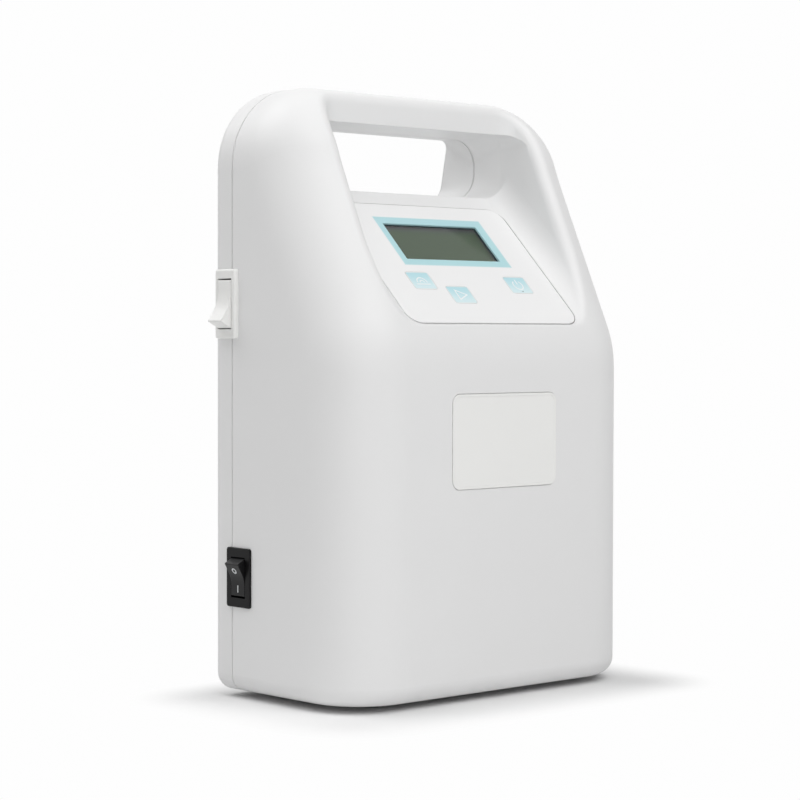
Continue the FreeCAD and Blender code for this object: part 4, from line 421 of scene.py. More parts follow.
@dataclass(frozen=True)
class WorkedMetal(Finish):
    """A metal with the marks of its making: drawn lines, turned rings or the skin of a die.

    The mark is their spacing, drawn coarser than the real 0.05 to 0.2 mm, which is too fine to show."""
    metallic: float = 1.0
    working: Working = Working.CAST
    mark: float = 0.5
    depth: float = 0.01
    gloss_spread: float = 0.1
    shades: Point = (0.86, 1.1)

    def surface(self, skin: Skin) -> None:
        """Adds the marks, stretched the way that the tool ran.

        Args:
            skin: the material in the making.
        """
        run = self.working.value
        along = skin.add("VectorMath", {0: skin.position, 1: run}, operation="MULTIPLY").outputs[0]
        marks = skin.add("TexNoise", {"Vector": along, "Scale": 1 / self.mark, "Detail": 4.0}).outputs[0]
        bump = skin.add("Bump", skin.relief(marks, self.depth)).outputs[0]
        gloss = skin.add("MapRange", {"Value": marks, "To Min": self.roughness - self.gloss_spread,
                                      "To Max": self.roughness + self.gloss_spread}).outputs[0]
        self.tinted(skin, marks, *self.shades)
        skin.drive(Roughness=gloss, Normal=bump)


@dataclass(frozen=True)
class GalvanisedSheet(Finish):
    """Hot-dip zinc on sheet steel: flat crystals that each catch the light a little differently."""
    metallic: float = 1.0
    spangle: float = 7.0
    gloss_span: Point = (-0.08, 0.14)
    shades: Point = (0.8, 1.08)

    def surface(self, skin: Skin) -> None:
        """Adds the crystals, each with its own shade and gloss.

        Args:
            skin: the material in the making.
        """
        cells = skin.add("TexVoronoi", {"Vector": skin.position, "Scale": 1 / self.spangle})
        shade = skin.add("SeparateColor", {0: cells.outputs["Color"]}).outputs[0]
        low, high = [self.roughness + step for step in self.gloss_span]
        gloss = skin.add("MapRange", {"Value": shade, "To Min": low, "To Max": high}).outputs[0]
        self.tinted(skin, shade, *self.shades)
        skin.drive(Roughness=gloss, Normal=skin.corner)


@dataclass(frozen=True)
class Layered(Finish):
    """Wire turns, laminations or cable cores that lie side by side at an even pitch.

    The valleys between rows are painted darker, as shade that for laminations also stands for their dark
    joints, and the crests paler, as a painted highlight.
    """
    pitch: float = 0.6
    groove: float = 0.12
    wander: float = 0.15
    axis: Axis = Axis.Z
    # Brightness in the valleys, painted shade that for laminations also stands for their dark joints, and on
    # the crests, a painted highlight.
    valley: float = 0.45
    crest_highlight: float = 1.5
    cloud: float = 6.0

    def surface(self, skin: Skin) -> None:
        """Adds rounded rows with painted shade in their valleys and a painted highlight on their crests, and
        the rows' uneven tone.

        Args:
            skin: the material in the making.
        """
        rows = skin.add("TexWave", {"Vector": skin.position, "Scale": WAVE_PERIOD / self.pitch,
                                    "Distortion": self.wander}, bands_direction=self.axis.value).outputs[1]
        cloud = skin.add("TexNoise", {"Vector": skin.position, "Scale": 1 / self.cloud}).outputs[0]
        shade = skin.add("Math", {0: rows, 1: cloud}, operation="MULTIPLY").outputs[0]
        # Darker in the valleys and paler on the crests: painted shade and painted highlight.
        self.tinted(skin, shade, self.valley, self.crest_highlight)
        skin.drive(Normal=skin.add("Bump", skin.relief(rows, self.groove)).outputs[0])


@dataclass(frozen=True)
class EtchedBoard(Finish):
    """Glass-epoxy laminate with etched copper tracks under a green or amber coat.

    The tracks are spaced wider than the real 0.5 mm, which is too fine to show. They lean over, so that level
    and upright boards both carry them, and sway a little over each stretch. The weave is the cloth's."""
    track: float = 1.3
    gap: float = 0.16
    run: float = 16.0
    sway: float = 1.6
    stretch: float = 9.0
    lean: float = -45.0
    weave: float = 0.5
    depth: float = 0.03
    track_colour: str = "#2f8a4f"

    def surface(self, skin: Skin) -> None:
        """Adds the tracks, paler where copper lies under the coat, and their low steps.

        Args:
            skin: the material in the making.
        """
        bend = skin.add("TexNoise", {"Vector": skin.position, "Scale": 1 / self.stretch, "Detail": 0.0})
        warped = skin.add("VectorMath", {0: bend.outputs["Color"], 1: (self.sway,) * 3, 2: skin.position},
                          operation="MULTIPLY_ADD").outputs[0]
        leant = skin.add("Mapping", {"Vector": warped, "Rotation": (radians(self.lean), 0.0, 0.0)}).outputs[0]
        tracks = skin.add("TexBrick", {"Vector": leant, "Scale": 1 / self.track, "Mortar Size": self.gap,
                                       "Brick Width": self.run, "Row Height": 1.0, "Mortar Smooth": 0.2},
                          offset=0.35).outputs["Fac"]
        weave = skin.add("TexNoise", {"Vector": skin.position, "Scale": 1 / self.weave}).outputs[0]
        height = skin.add("Math", {0: tracks, 1: weave}, operation="ADD").outputs[0]
        mix = skin.add("Mix", {SHARE: tracks, FIRST: linear(self.track_colour), SECOND: linear(self.colour)},
                       data_type="RGBA").outputs[MIXED]
        skin.drive(Base_Color=mix, Normal=skin.add("Bump", skin.relief(height, self.depth)).outputs[0])


@dataclass(frozen=True)
class CuredRubber(Finish):
    """Moulded rubber with its dull bloom: dark, soft-edged and faintly dusty."""
    edge: float = 0.5
    bloom: float = 2.2
    depth: float = 0.02
    shades: Point = (0.75, 1.5)

    def surface(self, skin: Skin) -> None:
        """Adds the patchy bloom and a slightly uneven skin.

        Args:
            skin: the material in the making.
        """
        at = skin.position
        dust = skin.add("TexNoise", {"Vector": at, "Scale": 1 / self.bloom, "Detail": 6.0}).outputs[0]
        self.tinted(skin, dust, *self.shades)
        skin.drive(Normal=skin.add("Bump", skin.relief(dust, self.depth)).outputs[0])


@dataclass(frozen=True)
class CastSilicone(Finish):
    """Extruded silicone: milky, lit from within, with a soft sheen.

    Light goes in by the through share, and spreads as far as the scatter."""
    through: float = 0.45
    scatter: float = 2.0
    line: float = 1.5
    depth: float = 0.015
    shades: Point = (0.94, 1.04)

    def surface(self, skin: Skin) -> None:
        """Adds light that spreads under the skin and faint drawing lines.

        Args:
            skin: the material in the making.
        """
        skin.shader.inputs["Subsurface Weight"].default_value = self.through
        skin.shader.inputs["Subsurface Scale"].default_value = self.scatter * MM
        at = skin.position
        lines = skin.add("TexNoise", {"Vector": at, "Scale": 1 / self.line, "Detail": 2.0}).outputs[0]
        self.tinted(skin, lines, *self.shades)
        skin.drive(Normal=skin.add("Bump", skin.relief(lines, self.depth)).outputs[0])


@dataclass(frozen=True)
class PressedFelt(Finish):
    """Needled polyester felt: a matt mat of short crossing fibres.

    The fibres are drawn coarser than the real 0.03 mm, which is too fine to show."""
    fibre: float = 0.7
    lays: tuple[Triple, ...] = ((0.2, 1.0, 1.0), (1.0, 1.0, 0.2))
    depth: float = 0.4
    shades: Point = (0.6, 2.0)

    def surface(self, skin: Skin) -> None:
        """Adds two crossed sets of fibres.

        Args:
            skin: the material in the making.
        """
        mat = 1.0
        for lay in self.lays:
            along = skin.add("VectorMath", {0: skin.position, 1: lay}, operation="MULTIPLY").outputs[0]
            fibre = skin.add("TexNoise", {"Vector": along, "Scale": 1 / self.fibre, "Detail": 5.0}).outputs[0]
            mat = skin.add("Math", {0: mat, 1: fibre}, operation="MULTIPLY").outputs[0]
        self.tinted(skin, mat, *self.shades)
        skin.drive(Normal=skin.add("Bump", skin.relief(mat, self.depth)).outputs[0])


@dataclass(frozen=True)
class FuseGlass(Finish):
    """A glass tube with nickel caps at both ends. The middle is its place along X."""
    middle: float = -52.0
    bare: float = 10.0
    soft: float = 0.1
    cap_colour: str = "#c9c6bd"

    def surface(self, skin: Skin) -> None:
        """Makes the ends metal and the middle smoky glass.

        Args:
            skin: the material in the making.
        """
        x = skin.add("SeparateXYZ", {0: skin.position}).outputs[0]
        offset = skin.add("Math", {0: x, 1: self.middle}, operation="SUBTRACT").outputs[0]
        offset = skin.add("Math", {0: offset}, operation="ABSOLUTE").outputs[0]
        cap = skin.add("MapRange", {"Value": offset, "From Min": self.bare / 2 - self.soft,
                                    "From Max": self.bare / 2 + self.soft}).outputs[0]
        mix = skin.add("Mix", {SHARE: cap, FIRST: linear(self.colour), SECOND: linear(self.cap_colour)},
                       data_type="RGBA").outputs[MIXED]
        skin.drive(Base_Color=mix, Metallic=cap, Normal=skin.corner)


@cache
def material_of(finish: Finish) -> bpy.types.Material:
    """Makes each finish's material once."""
    return finish.build()


# ABS from a spark-eroded mould gives a clean white with an eggshell sheen and no sparkle.
CASE_ABS = MouldedPlastic("moulded_abs_white", "#ebebeb", 0.46, edge=0.6)
# Nylon from a grained mould gives the switches a dull black with a thin sheen, broken up by its pits.
BLACK_NYLON = MouldedPlastic("moulded_nylon_black", "#101011", 0.36, grain=1.4, depth=0.004, edge=0.35,
                             specular=0.14)
ROCKER_NYLON = MouldedPlastic("moulded_nylon_charcoal", "#181819", 0.3, grain=1.8, depth=0.003, edge=0.35,
                              specular=0.2)
WHITE_NYLON = MouldedPlastic("moulded_nylon_white", "#f3f3f1", 0.34, grain=1.4, depth=0.004, edge=0.35)
# Polyester keypad film gives a flat, brighter white than the case, with pale blue ink under its skin.
PANEL_FILM = ScreenPrintedFilm(
    "printed_polyester_film", "#f3f3f3", 0.4, edge=0.2,
    patches=(Patch((0.7, -12.3), (71.6, 33.6), 0.5, "#b6dee4", "#b3dce1"),))
LABEL_FILM = ScreenPrintedFilm("coated_polyester_label", "#f3f3f1", 0.36, edge=0.15)
# Glass-filled polyester and nylon show their fibres as a dry, faintly mottled skin.
INLET_POLYESTER = MouldedPlastic("moulded_polyester_black", "#1a1a1b", 0.48, grain=0.7, depth=0.012)
FILLED_NYLON = MouldedPlastic("moulded_filled_nylon_grey", "#6c6e72", 0.5, grain=0.6, depth=0.015,
                              mottle=0.06)
# Acetal, acrylic and unfilled nylon come smooth from a polished mould, with a waxy light on their edges.
ACETAL = MouldedPlastic("moulded_acetal_grey", "#c4c6c8", 0.3, grain=1.5, depth=0.003, edge=0.4)
DIFFUSER = MouldedPlastic("moulded_acrylic_milky", "#dfe8de", 0.4, grain=0.8, depth=0.004)
TERMINAL_NYLON = MouldedPlastic("moulded_nylon_pale", "#dcdcd2", 0.4, grain=1.0)
# Transfer-moulded epoxy gives chips a dull, sandy black.
EPOXY = MouldedPlastic("moulded_epoxy_black", "#1c1c1f", 0.55, grain=0.4, depth=0.012, mottle=0.05, edge=0.15)
# Shrunk and extruded PVC lies slightly wavy over what it covers.
SLEEVE = MouldedPlastic("shrunk_sleeve_black", "#16181f", 0.3, grain=3.0, depth=0.02)
WIRE_PVC = MouldedPlastic("extruded_pvc_brown", "#5a2c18", 0.38, grain=3.0, depth=0.01)
# A polariser over glass gives a dull olive ground, and the acrylic over it one clear reflection.
DISPLAY = LiquidCrystal("liquid_crystal_glass", "#3c5434", 0.3, edge=0.1)
LENS = PolishedAcrylic("cast_acrylic_lens", "#f4f6f5", 0.04, ior=1.49)
# Bright zinc gives screws and brackets a cool, slightly patchy shine.
ZINC_SCREW = WorkedMetal("zinc_plated_screw_steel", "#c3c6c9", 0.34, working=Working.TURNED, edge=0.15)
ZINC_BRACKET = WorkedMetal("zinc_plated_bracket_steel", "#b9bcc0", 0.36, working=Working.DRAWN)
ZINC_SHEET = GalvanisedSheet("galvanised_sheet_steel", "#b6babd", 0.4)
# Grinding leaves steel and iron with fine lines that stretch each reflection.
STAINLESS = WorkedMetal("ground_stainless_steel", "#c8c8c6", 0.22, working=Working.TURNED, depth=0.004)
GROUND_IRON = WorkedMetal("ground_armature_iron", "#77787c", 0.4, working=Working.DRAWN)
# Tin on brass is pale and a little yellow, with drawn lines.
TINNED = WorkedMetal("tinned_brass", "#c9c2ab", 0.3, working=Working.DRAWN, depth=0.006, edge=0.1)
# A die leaves aluminium with a pebbled, dull grey skin.
CAST_ALLOY = WorkedMetal("die_cast_aluminium", "#a9abae", 0.5, mark=0.8, depth=0.03, edge=0.5)
# Stamped sheets in a varnished stack show as fine dark lines, partly their joints and partly painted shade,
# drawn coarser than their 0.5 mm.
LAMINATED_Y = Layered("varnished_lamination_stack", "#6b6d72", 0.45, 0.8, pitch=0.8, groove=0.06, axis=Axis.Y)
LAMINATED_Z = Layered("varnished_transformer_stack", "#6b6d72", 0.45, 0.8, pitch=0.8, groove=0.06)
# Enamelled wire lies in rows with a warm gloss on each turn, drawn coarser than its 0.3 mm. Each turn has a
# painted highlight on its crest and painted shade between turns.
WOUND_Z = Layered("wound_enamelled_copper", "#a8562a", 0.3, 0.7, pitch=0.7)
WOUND_Y = Layered("wound_transformer_copper", "#a8562a", 0.3, 0.7, pitch=0.7, axis=Axis.Y)
# The ribbon's cores lie 1.27 mm apart under one grey skin, with painted shade between them and a painted
# highlight on each.
RIBBON = Layered("ribbon_of_pvc_cores", "#9b9da0", 0.45, pitch=1.27, groove=0.3, axis=Axis.X, valley=0.6)
# Etched copper shows through its coat as paler tracks.
GREEN_BOARD = EtchedBoard("etched_epoxy_board", "#155c33", 0.35)
AMBER_FILM = EtchedBoard("etched_polyimide_film", "#b3762a", 0.35, track_colour="#cf9a4a")
# Rubber is near black under a patchy grey bloom, and silicone is milky.
RUBBER = CuredRubber("cured_nitrile_rubber", "#242425", 0.75)
SILICONE = CastSilicone("extruded_silicone", "#dcdedb", 0.35, ior=1.41)
# Needled felt has no shine, only crossing fibres.
FELT = PressedFelt("needled_polyester_felt", "#8c8c8a", 0.95)
# Drawn glass is smooth, and its ends are pressed nickel.
FUSE = FuseGlass("drawn_fuse_glass", "#b9c2c2", 0.1)
# Printing ink dries to a thin, even, dull film.
WHITE_INK = MouldedPlastic("printed_ink_white", "#f2f8f9", 0.4, grain=1.0, edge=0.05)
GREY_INK = MouldedPlastic("pad_printed_ink_grey", "#dcdfe0", 0.45, grain=1.0, edge=0.05)
DARK_INK = MouldedPlastic("printed_ink_slate", "#6e8084", 0.4, grain=1.0, edge=0.05)


# ---------------------------------------------------------------- printed marks
def arc(centre: Point, radius: float, start: float, end: float, steps: int = 28) -> list[Point]:
    """Gives points along an arc, with its angles in degrees from the place's right axis."""
    turns = [radians(start + (end - start) * i / steps) for i in range(steps + 1)]
    return [(centre[0] + radius * cos(t), centre[1] + radius * sin(t)) for t in turns]


@dataclass
class Stroke:
    """A flat printed line of even width, with mitred corners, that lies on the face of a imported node.

    The path is in millimetres in the place's frame. The ink stands out from the face by the lift and reaches
    under it by the sink. The start is the height from which the face is looked for."""
    name: str
    node: str
    place: Place
    path: list[Point]
    width: float
    closed: bool = False
    lift: float = 0.03
    sink: float = 0.02
    start: float = 4.0

    def landed(self, face: BVHTree, u: float, v: float) -> Vector:
        """Finds where the place's inward ray meets the node.

        Args:
            face: the node's faces.
            u: the ray's place along the right axis, in millimetres.
            v: its place along the up axis.

        Returns:
            The point on the node's face, in metres, or on the place's plane where the ray misses.
        """
        point = face.ray_cast(self.place.at(u, v, self.start), -self.place.out)[0]
        return point or self.place.at(u, v, 0.0)

    def build(self) -> bpy.types.Object:
        """Builds the line.

        Returns:
            The new object, linked into the scene.
        """
        points = [Vector(p) for p in self.path]
        count = len(points)
        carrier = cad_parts[self.node].data
        face = BVHTree.FromPolygons([v.co for v in carrier.vertices], [p.vertices for p in carrier.polygons])
        verts = []
        for i, point in enumerate(points):
            before = points[i - 1] if self.closed or i else None
            after = points[(i + 1) % count] if self.closed or i < count - 1 else None
            runs = [(point - before).normalized()] if before else []
            runs += [(after - point).normalized()] if after else []
            run = sum(runs, Vector((0.0, 0.0))).normalized()
            mitre = Vector((-run.y, run.x)) * (self.width / 2 / max(MITRE_LIMIT, run.dot(runs[0])))
            feet = [self.landed(face, *(point + mitre * side)) for side in (-1, 1)]
            tops = [foot + self.place.out * self.lift * MM for foot in feet]
            verts += tops + [foot - self.place.out * self.sink * MM for foot in reversed(feet)]
        faces = []
        for i in range(count if self.closed else count - 1):
            a = 4 * i
            b = 4 * ((i + 1) % count)
            faces += [(a + k, b + k, b + (k + 1) % 4, a + (k + 1) % 4) for k in range(4)]
        if not self.closed:
            faces += [(0, 1, 2, 3), (4 * count - 1, 4 * count - 2, 4 * count - 3, 4 * count - 4)]
        mesh = bpy.data.meshes.new(self.name)
        mesh.from_pydata(verts, [], faces)
        mesh.validate()
        piece = bpy.data.objects.new(self.name, mesh)
        bpy.context.scene.collection.objects.link(piece)
        return piece


# ---------------------------------------------------------------- units
class Unit:
    """A sub-assembly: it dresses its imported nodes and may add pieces."""

    def finishes(self) -> dict[str, Finish]:
        """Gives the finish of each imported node."""
        raise NotImplementedError

    def pieces(self) -> list[bpy.types.Object]:
        """Builds the pieces that the unit adds."""
        return []

    def printed(self, stroke: Stroke, ink: Finish, slot: str) -> bpy.types.Object:
        """Builds a printed line and fits it to the node that carries it.

        Args:
            stroke: the line.
            ink: its finish.
            slot: not used.

        Returns:
            The new piece.
        """
        piece = stroke.build()
        piece.data.materials.append(material_of(ink))
        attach(piece, stroke.node)
        return piece

    def build(self) -> None:
        """Dresses the nodes, then builds and reports the added pieces."""
        for node, finish in self.finishes().items():
            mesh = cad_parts[node].data
            mesh.materials.clear()
            mesh.materials.append(material_of(finish))
            log.info("%s: %s", node, finish.name)
        for piece in self.pieces():
            log.info("%s: %d vertices", piece.name, len(piece.data.vertices))


@dataclass
class Casing(Unit):
    """The two moulded halves, their screws and feet, and the blank plate on the front."""

    def finishes(self) -> dict[str, Finish]:
        """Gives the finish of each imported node."""
        return {"front_casing": CASE_ABS, "rear_cover": CASE_ABS, "casing_screws": ZINC_SCREW, "feet": RUBBER,
                "label_plate": LABEL_FILM, "intake_filter": FELT}


class Mark(Enum):
    """The sign printed on a key."""
    ARCH = "arch"
    TRIANGLE = "triangle"
    RING = "ring"


@dataclass
class Key:
    """One membrane key: its place on the panel and its sign."""
    node: str
    centre: Point
    mark: Mark
    inked: Point = (13.8, 10.8)
    soft: float = 0.5
    ink: str = "#b7dfe7"
    low_ink: str = "#d8edf1"
    stroke_w: float = 0.62

    def finish(self) -> ScreenPrintedFilm:
        """Gives the key's film, its ink fading towards the lower edge."""
        patch = Patch(self.centre, self.inked, self.soft, self.ink, self.low_ink)
        return ScreenPrintedFilm(f"printed_{self.node}_film", PANEL_FILM.colour, PANEL_FILM.roughness,
                                 edge=0.1, patches=(patch,))

    def paths(self) -> list[tuple[list[Point], bool]]:
        """Draws the sign.

        Returns:
            Each stroke's path and whether it is closed.
        """
        u, v = self.centre
        if self.mark is Mark.ARCH:
            return [(arc((u, v - 1.2), 3.1, 0, 180), False), (arc((u, v - 1.2), 1.3, 0, 180), False),
                    ([(u - 4.4, v - 2.4), (u + 4.4, v - 2.4)], False)]
        if self.mark is Mark.TRIANGLE:
            return [([(u - 2.6, v + 3.2), (u - 2.6, v - 3.2), (u + 3.6, v)], True)]
        return [(arc((u, v), 3.0, 125, 415), False), ([(u, v + 0.6), (u, v + 3.9)], False)]

    def strokes(self) -> list[Stroke]:
        """Gives the sign's lines on the key."""
        return [Stroke(f"{self.node}_sign_{i + 1}", self.node, PANEL, path, self.stroke_w, closed)
                for i, (path, closed) in enumerate(self.paths())]


@dataclass
class ControlPanel(Unit):
    """The keypad plate with its three keys, and the layers under it."""
    dash: tuple[Point, Point] = ((31.6, -46.2), (32.9, -46.2))
    dash_w: float = 0.35
    keys: tuple[Key, ...] = (Key("key_left", (-31.9, -40.0), Mark.ARCH),
                             Key("key_middle", (-11.8, -49.3), Mark.TRIANGLE),
                             Key("key_right", (31.9, -41.8), Mark.RING))

    def finishes(self) -> dict[str, Finish]:
        """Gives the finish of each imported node."""
        films = {key.node: key.finish() for key in self.keys}
        return {"control_panel": PANEL_FILM, "keypad_circuit": AMBER_FILM, "key_domes": STAINLESS, **films}

    def pieces(self) -> list[bpy.types.Object]:
        """Builds the keys' signs and the small dash under the right one."""
        made = [self.printed(line, WHITE_INK, "panel_white") for key in self.keys for line in key.strokes()]
        dash = Stroke("key_right_dash", "key_right", PANEL, list(self.dash), self.dash_w)
        return made + [self.printed(dash, DARK_INK, "panel_white")]


@dataclass
class DisplayStack(Unit):
    """Lens, liquid crystal glass, light guide, frame and board."""

    def finishes(self) -> dict[str, Finish]:
        """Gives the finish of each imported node."""
        return {"display_window": LENS, "display_glass": DISPLAY, "display_backlight": DIFFUSER,
                "display_bezel": ZINC_BRACKET, "display_board": GREEN_BOARD}


@dataclass
class ControlElectronics(Unit):
    """The control board with its chips, buzzer, ribbon and the small screws."""

    def finishes(self) -> dict[str, Finish]:
        """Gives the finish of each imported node."""
        return {"control_board": GREEN_BOARD, "control_chips": EPOXY, "buzzer": EPOXY, "ribbon_cable": RIBBON,
                "small_screws": ZINC_SCREW, "pressure_sensor": EPOXY}


@dataclass
class MainsSwitch(Unit):
    """The black mains rocker with its O and I, tipped by the tilt as it stands at rest.

    Its two faces meet in a valley over the pivot, and rise to a tip above and below. The origin is on the
    case's side, the heights n are out from the pivot, and the marks' places run along each face from the
    valley."""
    origin: Triple = (-96.75, 30.2, 58.3)
    tip_v: float = 8.1
    tip_n: float = 3.9
    valley_n: float = 1.75
    pivot_in: float = 0.55
    tilt: float = 15.0
    ring_at: float = 4.4
    ring_r: float = 1.2
    bar_at: float = -4.9
    bar_half: float = 1.7
    line_w: float = 0.62

    def face(self, upper: bool) -> Place:
        """Finds the frame of one finger face.

        Args:
            upper: whether it is the upper face, with the O.

        Returns:
            The frame, with its origin on the valley line.
        """
        side = Place(Vector(self.origin), Vector((0, -1, 0)), Vector((0, 0, 1)), Vector((-1, 0, 0)))
        rocker = side.moved(0.0, -self.pivot_in).tipped(radians(self.tilt)).moved(0.0, self.valley_n)
        slope = atan2(self.tip_n - self.valley_n, self.tip_v)
        return rocker.tipped(slope if upper else -slope)

    def finishes(self) -> dict[str, Finish]:
        """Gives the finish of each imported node."""
        return {"power_switch_frame": BLACK_NYLON, "power_rocker": ROCKER_NYLON, "power_switch_tabs": TINNED}

    def pieces(self) -> list[bpy.types.Object]:
        """Builds the O on the upper face and the I on the lower one."""
        ring = arc((0.0, self.ring_at), self.ring_r, 0, 348, 30)
        bar = [(0.0, self.bar_at - self.bar_half), (0.0, self.bar_at), (0.0, self.bar_at + self.bar_half)]
        lines = (Stroke("power_rocker_off_mark", "power_rocker", self.face(True), ring, self.line_w, True),
                 Stroke("power_rocker_on_mark", "power_rocker", self.face(False), bar, self.line_w))
        return [self.printed(line, GREY_INK, "switch_white") for line in lines]


@dataclass
class SideSwitch(Unit):
    """The white rocker above it."""

    def finishes(self) -> dict[str, Finish]:
        """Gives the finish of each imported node."""
        return {"side_switch_frame": WHITE_NYLON, "side_rocker": WHITE_NYLON, "side_switch_tabs": TINNED}


@dataclass
class MainsInlet(Unit):
    """The inlet on the back, its pins and screws."""

    def finishes(self) -> dict[str, Finish]:
        """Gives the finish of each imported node."""
        return {"mains_inlet": INLET_POLYESTER, "inlet_pins": TINNED, "inlet_screws": ZINC_SCREW}


@dataclass
class HoseSockets(Unit):
    """The two sleeve sockets on the right side, with their nuts and seals."""

    def finishes(self) -> dict[str, Finish]:
        """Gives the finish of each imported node."""
        return {"hose_socket_lower": ACETAL, "hose_socket_upper": ACETAL, "socket_nuts": TINNED,
                "socket_seals": RUBBER}


@dataclass
class AirPump(Unit):
    """The linear pump on its rubber mounts, and the tray under it."""

    def finishes(self) -> dict[str, Finish]:
        """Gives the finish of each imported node."""
        return {"chassis": ZINC_SHEET, "pump_mounts": RUBBER, "pump_frame": CAST_ALLOY, "pump_coils": WOUND_Z,
                "pump_core": LAMINATED_Y, "pump_armature": GROUND_IRON, "pump_diaphragms": RUBBER,
                "pump_heads": FILLED_NYLON, "pump_screws": ZINC_SCREW}


@dataclass
class ValveBlock(Unit):
    """The manifold with its three valves and the hoses that meet there."""

    def finishes(self) -> dict[str, Finish]:
        """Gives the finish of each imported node."""
        plungers = {f"valve_plunger_{i}": STAINLESS for i in (1, 2, 3)}
        return {"valve_manifold": FILLED_NYLON, "valve_frames": ZINC_BRACKET, "valve_coils": WOUND_Z,
                "air_hoses": SILICONE, **plungers}


@dataclass
class SupplyUnit(Unit):
    """The mains supply board and its parts."""

    def finishes(self) -> dict[str, Finish]:
        """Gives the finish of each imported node."""
        return {"supply_board": GREEN_BOARD, "transformer_core": LAMINATED_Z, "transformer_winding": WOUND_Y,
                "supply_capacitors": SLEEVE, "supply_heat_sink": CAST_ALLOY, "supply_fuse": FUSE,
                "supply_terminals": TERMINAL_NYLON, "mains_wires": WIRE_PVC}


# ---------------------------------------------------------------- studio
@dataclass
class Lamp:
    """One soft square lamp: its place over the floor, height and side in metres, and its power in watts."""
    name: str
    place: Point
    height: float
    size: float
    watts: float


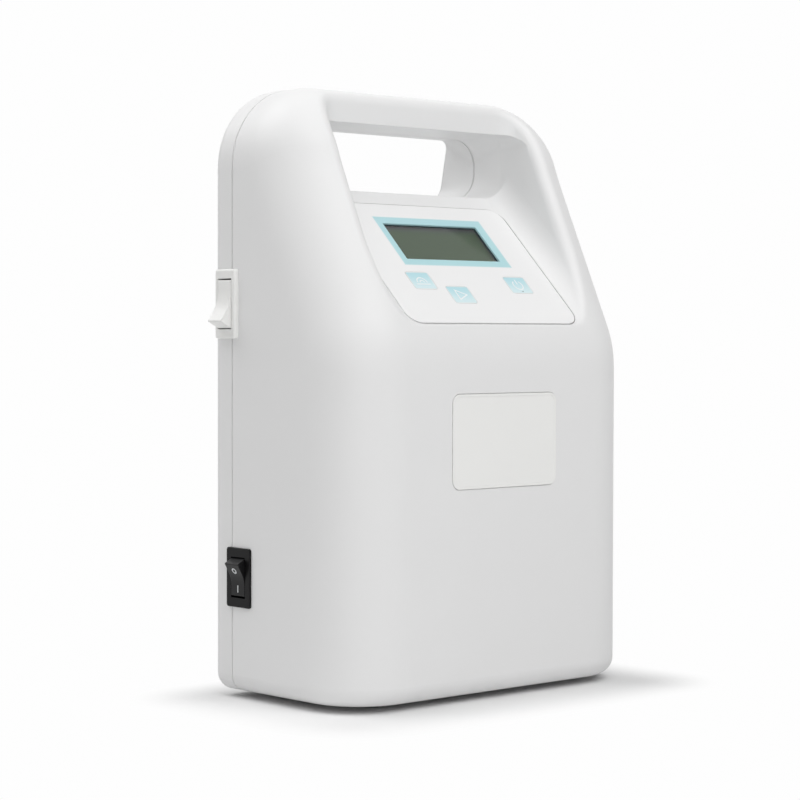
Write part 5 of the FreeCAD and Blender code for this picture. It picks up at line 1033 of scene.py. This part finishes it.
@dataclass
class Studio:
    """Pale floor, soft light and the camera, in metres.

    The floor keeps its own shade over the footprint, and fades to the backdrop's white past it."""
    target: Triple = (0.0, 0.0, 0.14)
    camera_at: Triple = (-0.76850, -0.81880, 0.17480)
    yaw: float = 42.379
    pitch: float = -1.692
    roll: float = -0.110
    lens: float = 102.53
    sensor: float = 36.0
    nearest: float = 0.05
    room: float = 0.1
    backdrop: float = 0.99
    floor_size: float = 12.0
    floor_colour: str = "#ececec"
    floor_roughness: float = 0.9
    shade_at: Point = (-0.006, -0.007)
    footprint: Point = (0.090, 0.045)
    floor_fade: float = 0.048
    lamps: tuple[Lamp, ...] = (Lamp("overhead", (0.0, 0.0), 1.6, 1.6, 3.8),
                               Lamp("overhead_front", (0.0, -1.0), 1.4, 1.4, 14.9),
                               Lamp("overhead_back", (-0.7, 0.9), 1.5, 1.2, 12.8),
                               Lamp("fill", (-1.2, -1.3), 0.6, 1.2, 6.7))

    def camera(self) -> None:
        """Places the camera from its heading, pitch and roll."""
        data = bpy.data.cameras.new("camera")
        data.lens = self.lens
        data.sensor_width = self.sensor
        data.clip_start = self.nearest
        camera = bpy.data.objects.new("camera", data)
        turn = Matrix.Rotation(radians(-self.yaw), 4, "Z") @ Matrix.Rotation(radians(90 + self.pitch), 4, "X")
        turn = turn @ Matrix.Rotation(radians(-self.roll), 4, "Z")
        camera.matrix_world = Matrix.Translation(self.camera_at) @ turn
        bpy.context.scene.collection.objects.link(camera)
        bpy.context.scene.camera = camera

    def light(self) -> None:
        """Places the lamps and sets the room's even light, which the backdrop rays see as white."""
        for lamp in self.lamps:
            data = bpy.data.lights.new(lamp.name, "AREA")
            data.size = lamp.size
            data.energy = lamp.watts
            item = bpy.data.objects.new(lamp.name, data)
            item.location = (*lamp.place, lamp.height)
            aim = Vector(self.target) - Vector(item.location)
            item.rotation_euler = aim.to_track_quat("-Z", "Y").to_euler()
            bpy.context.scene.collection.objects.link(item)
        world = bpy.data.worlds.new("room")
        world.use_nodes = True
        tree = world.node_tree
        back = tree.nodes["Background"]
        back.inputs["Color"].default_value = WHITE
        strength = add(tree, "MapRange", {"Value": backdrop_rays(tree), "To Min": self.room,
                                          "To Max": self.backdrop}).outputs[0]
        tree.links.new(strength, back.inputs["Strength"])
        bpy.context.scene.world = world

    def floor(self) -> None:
        """Lays a pale floor that keeps the case's shadow and fades to white further out."""
        half = self.floor_size / 2
        corners = [(-half, -half, 0), (half, -half, 0), (half, half, 0), (-half, half, 0)]
        mesh = bpy.data.meshes.new("floor")
        mesh.from_pydata(corners, [], [(0, 1, 2, 3)])
        item = bpy.data.objects.new("floor", mesh)
        bpy.context.scene.collection.objects.link(item)
        material = bpy.data.materials.new("painted_floor_white")
        material.use_nodes = True
        tree = material.node_tree
        shader = tree.nodes["Principled BSDF"]
        shader.inputs["Roughness"].default_value = self.floor_roughness
        shader.inputs["Base Color"].default_value = linear(self.floor_colour)
        place = add(tree, "VectorMath", {0: add(tree, "TexCoord", {}).outputs["Object"],
                                         1: (*self.shade_at, 0.0)}, operation="SUBTRACT").outputs[0]
        place = add(tree, "VectorMath", {0: place}, operation="ABSOLUTE").outputs[0]
        past = add(tree, "VectorMath", {0: place, 1: (*self.footprint, 0.0)}, operation="SUBTRACT").outputs[0]
        past = add(tree, "VectorMath", {0: past, 1: (0.0, 0.0, 0.0)}, operation="MAXIMUM").outputs[0]
        away = add(tree, "VectorMath", {0: past}, operation="LENGTH").outputs["Value"]
        far = add(tree, "MapRange", {"Value": away, "From Min": 0.0, "From Max": self.floor_fade},
                  interpolation_type="SMOOTHSTEP").outputs[0]
        share = add(tree, "Math", {0: far, 1: backdrop_rays(tree)}, operation="MULTIPLY").outputs[0]
        glow = add(tree, "Emission", {"Color": WHITE, "Strength": self.backdrop}).outputs[0]
        mix = add(tree, "MixShader", {0: share, 1: shader.outputs[0], 2: glow}).outputs[0]
        tree.links.new(mix, tree.nodes["Material Output"].inputs["Surface"])
        mesh.materials.append(material)

    def build(self) -> None:
        """Sets up camera, light and floor."""
        bpy.context.scene.view_settings.view_transform = "Standard"
        self.camera()
        self.light()
        self.floor()


def main() -> None:
    """Builds the studio and the units in order."""
    logging.basicConfig(level=logging.INFO, format="%(name)s %(message)s")
    Studio().build()
    for unit in (Casing(), ControlPanel(), DisplayStack(), ControlElectronics(), MainsSwitch(), SideSwitch(),
                 MainsInlet(), HoseSockets(), AirPump(), ValveBlock(), SupplyUnit()):
        unit.build()


if __name__ == "__main__":
    main()
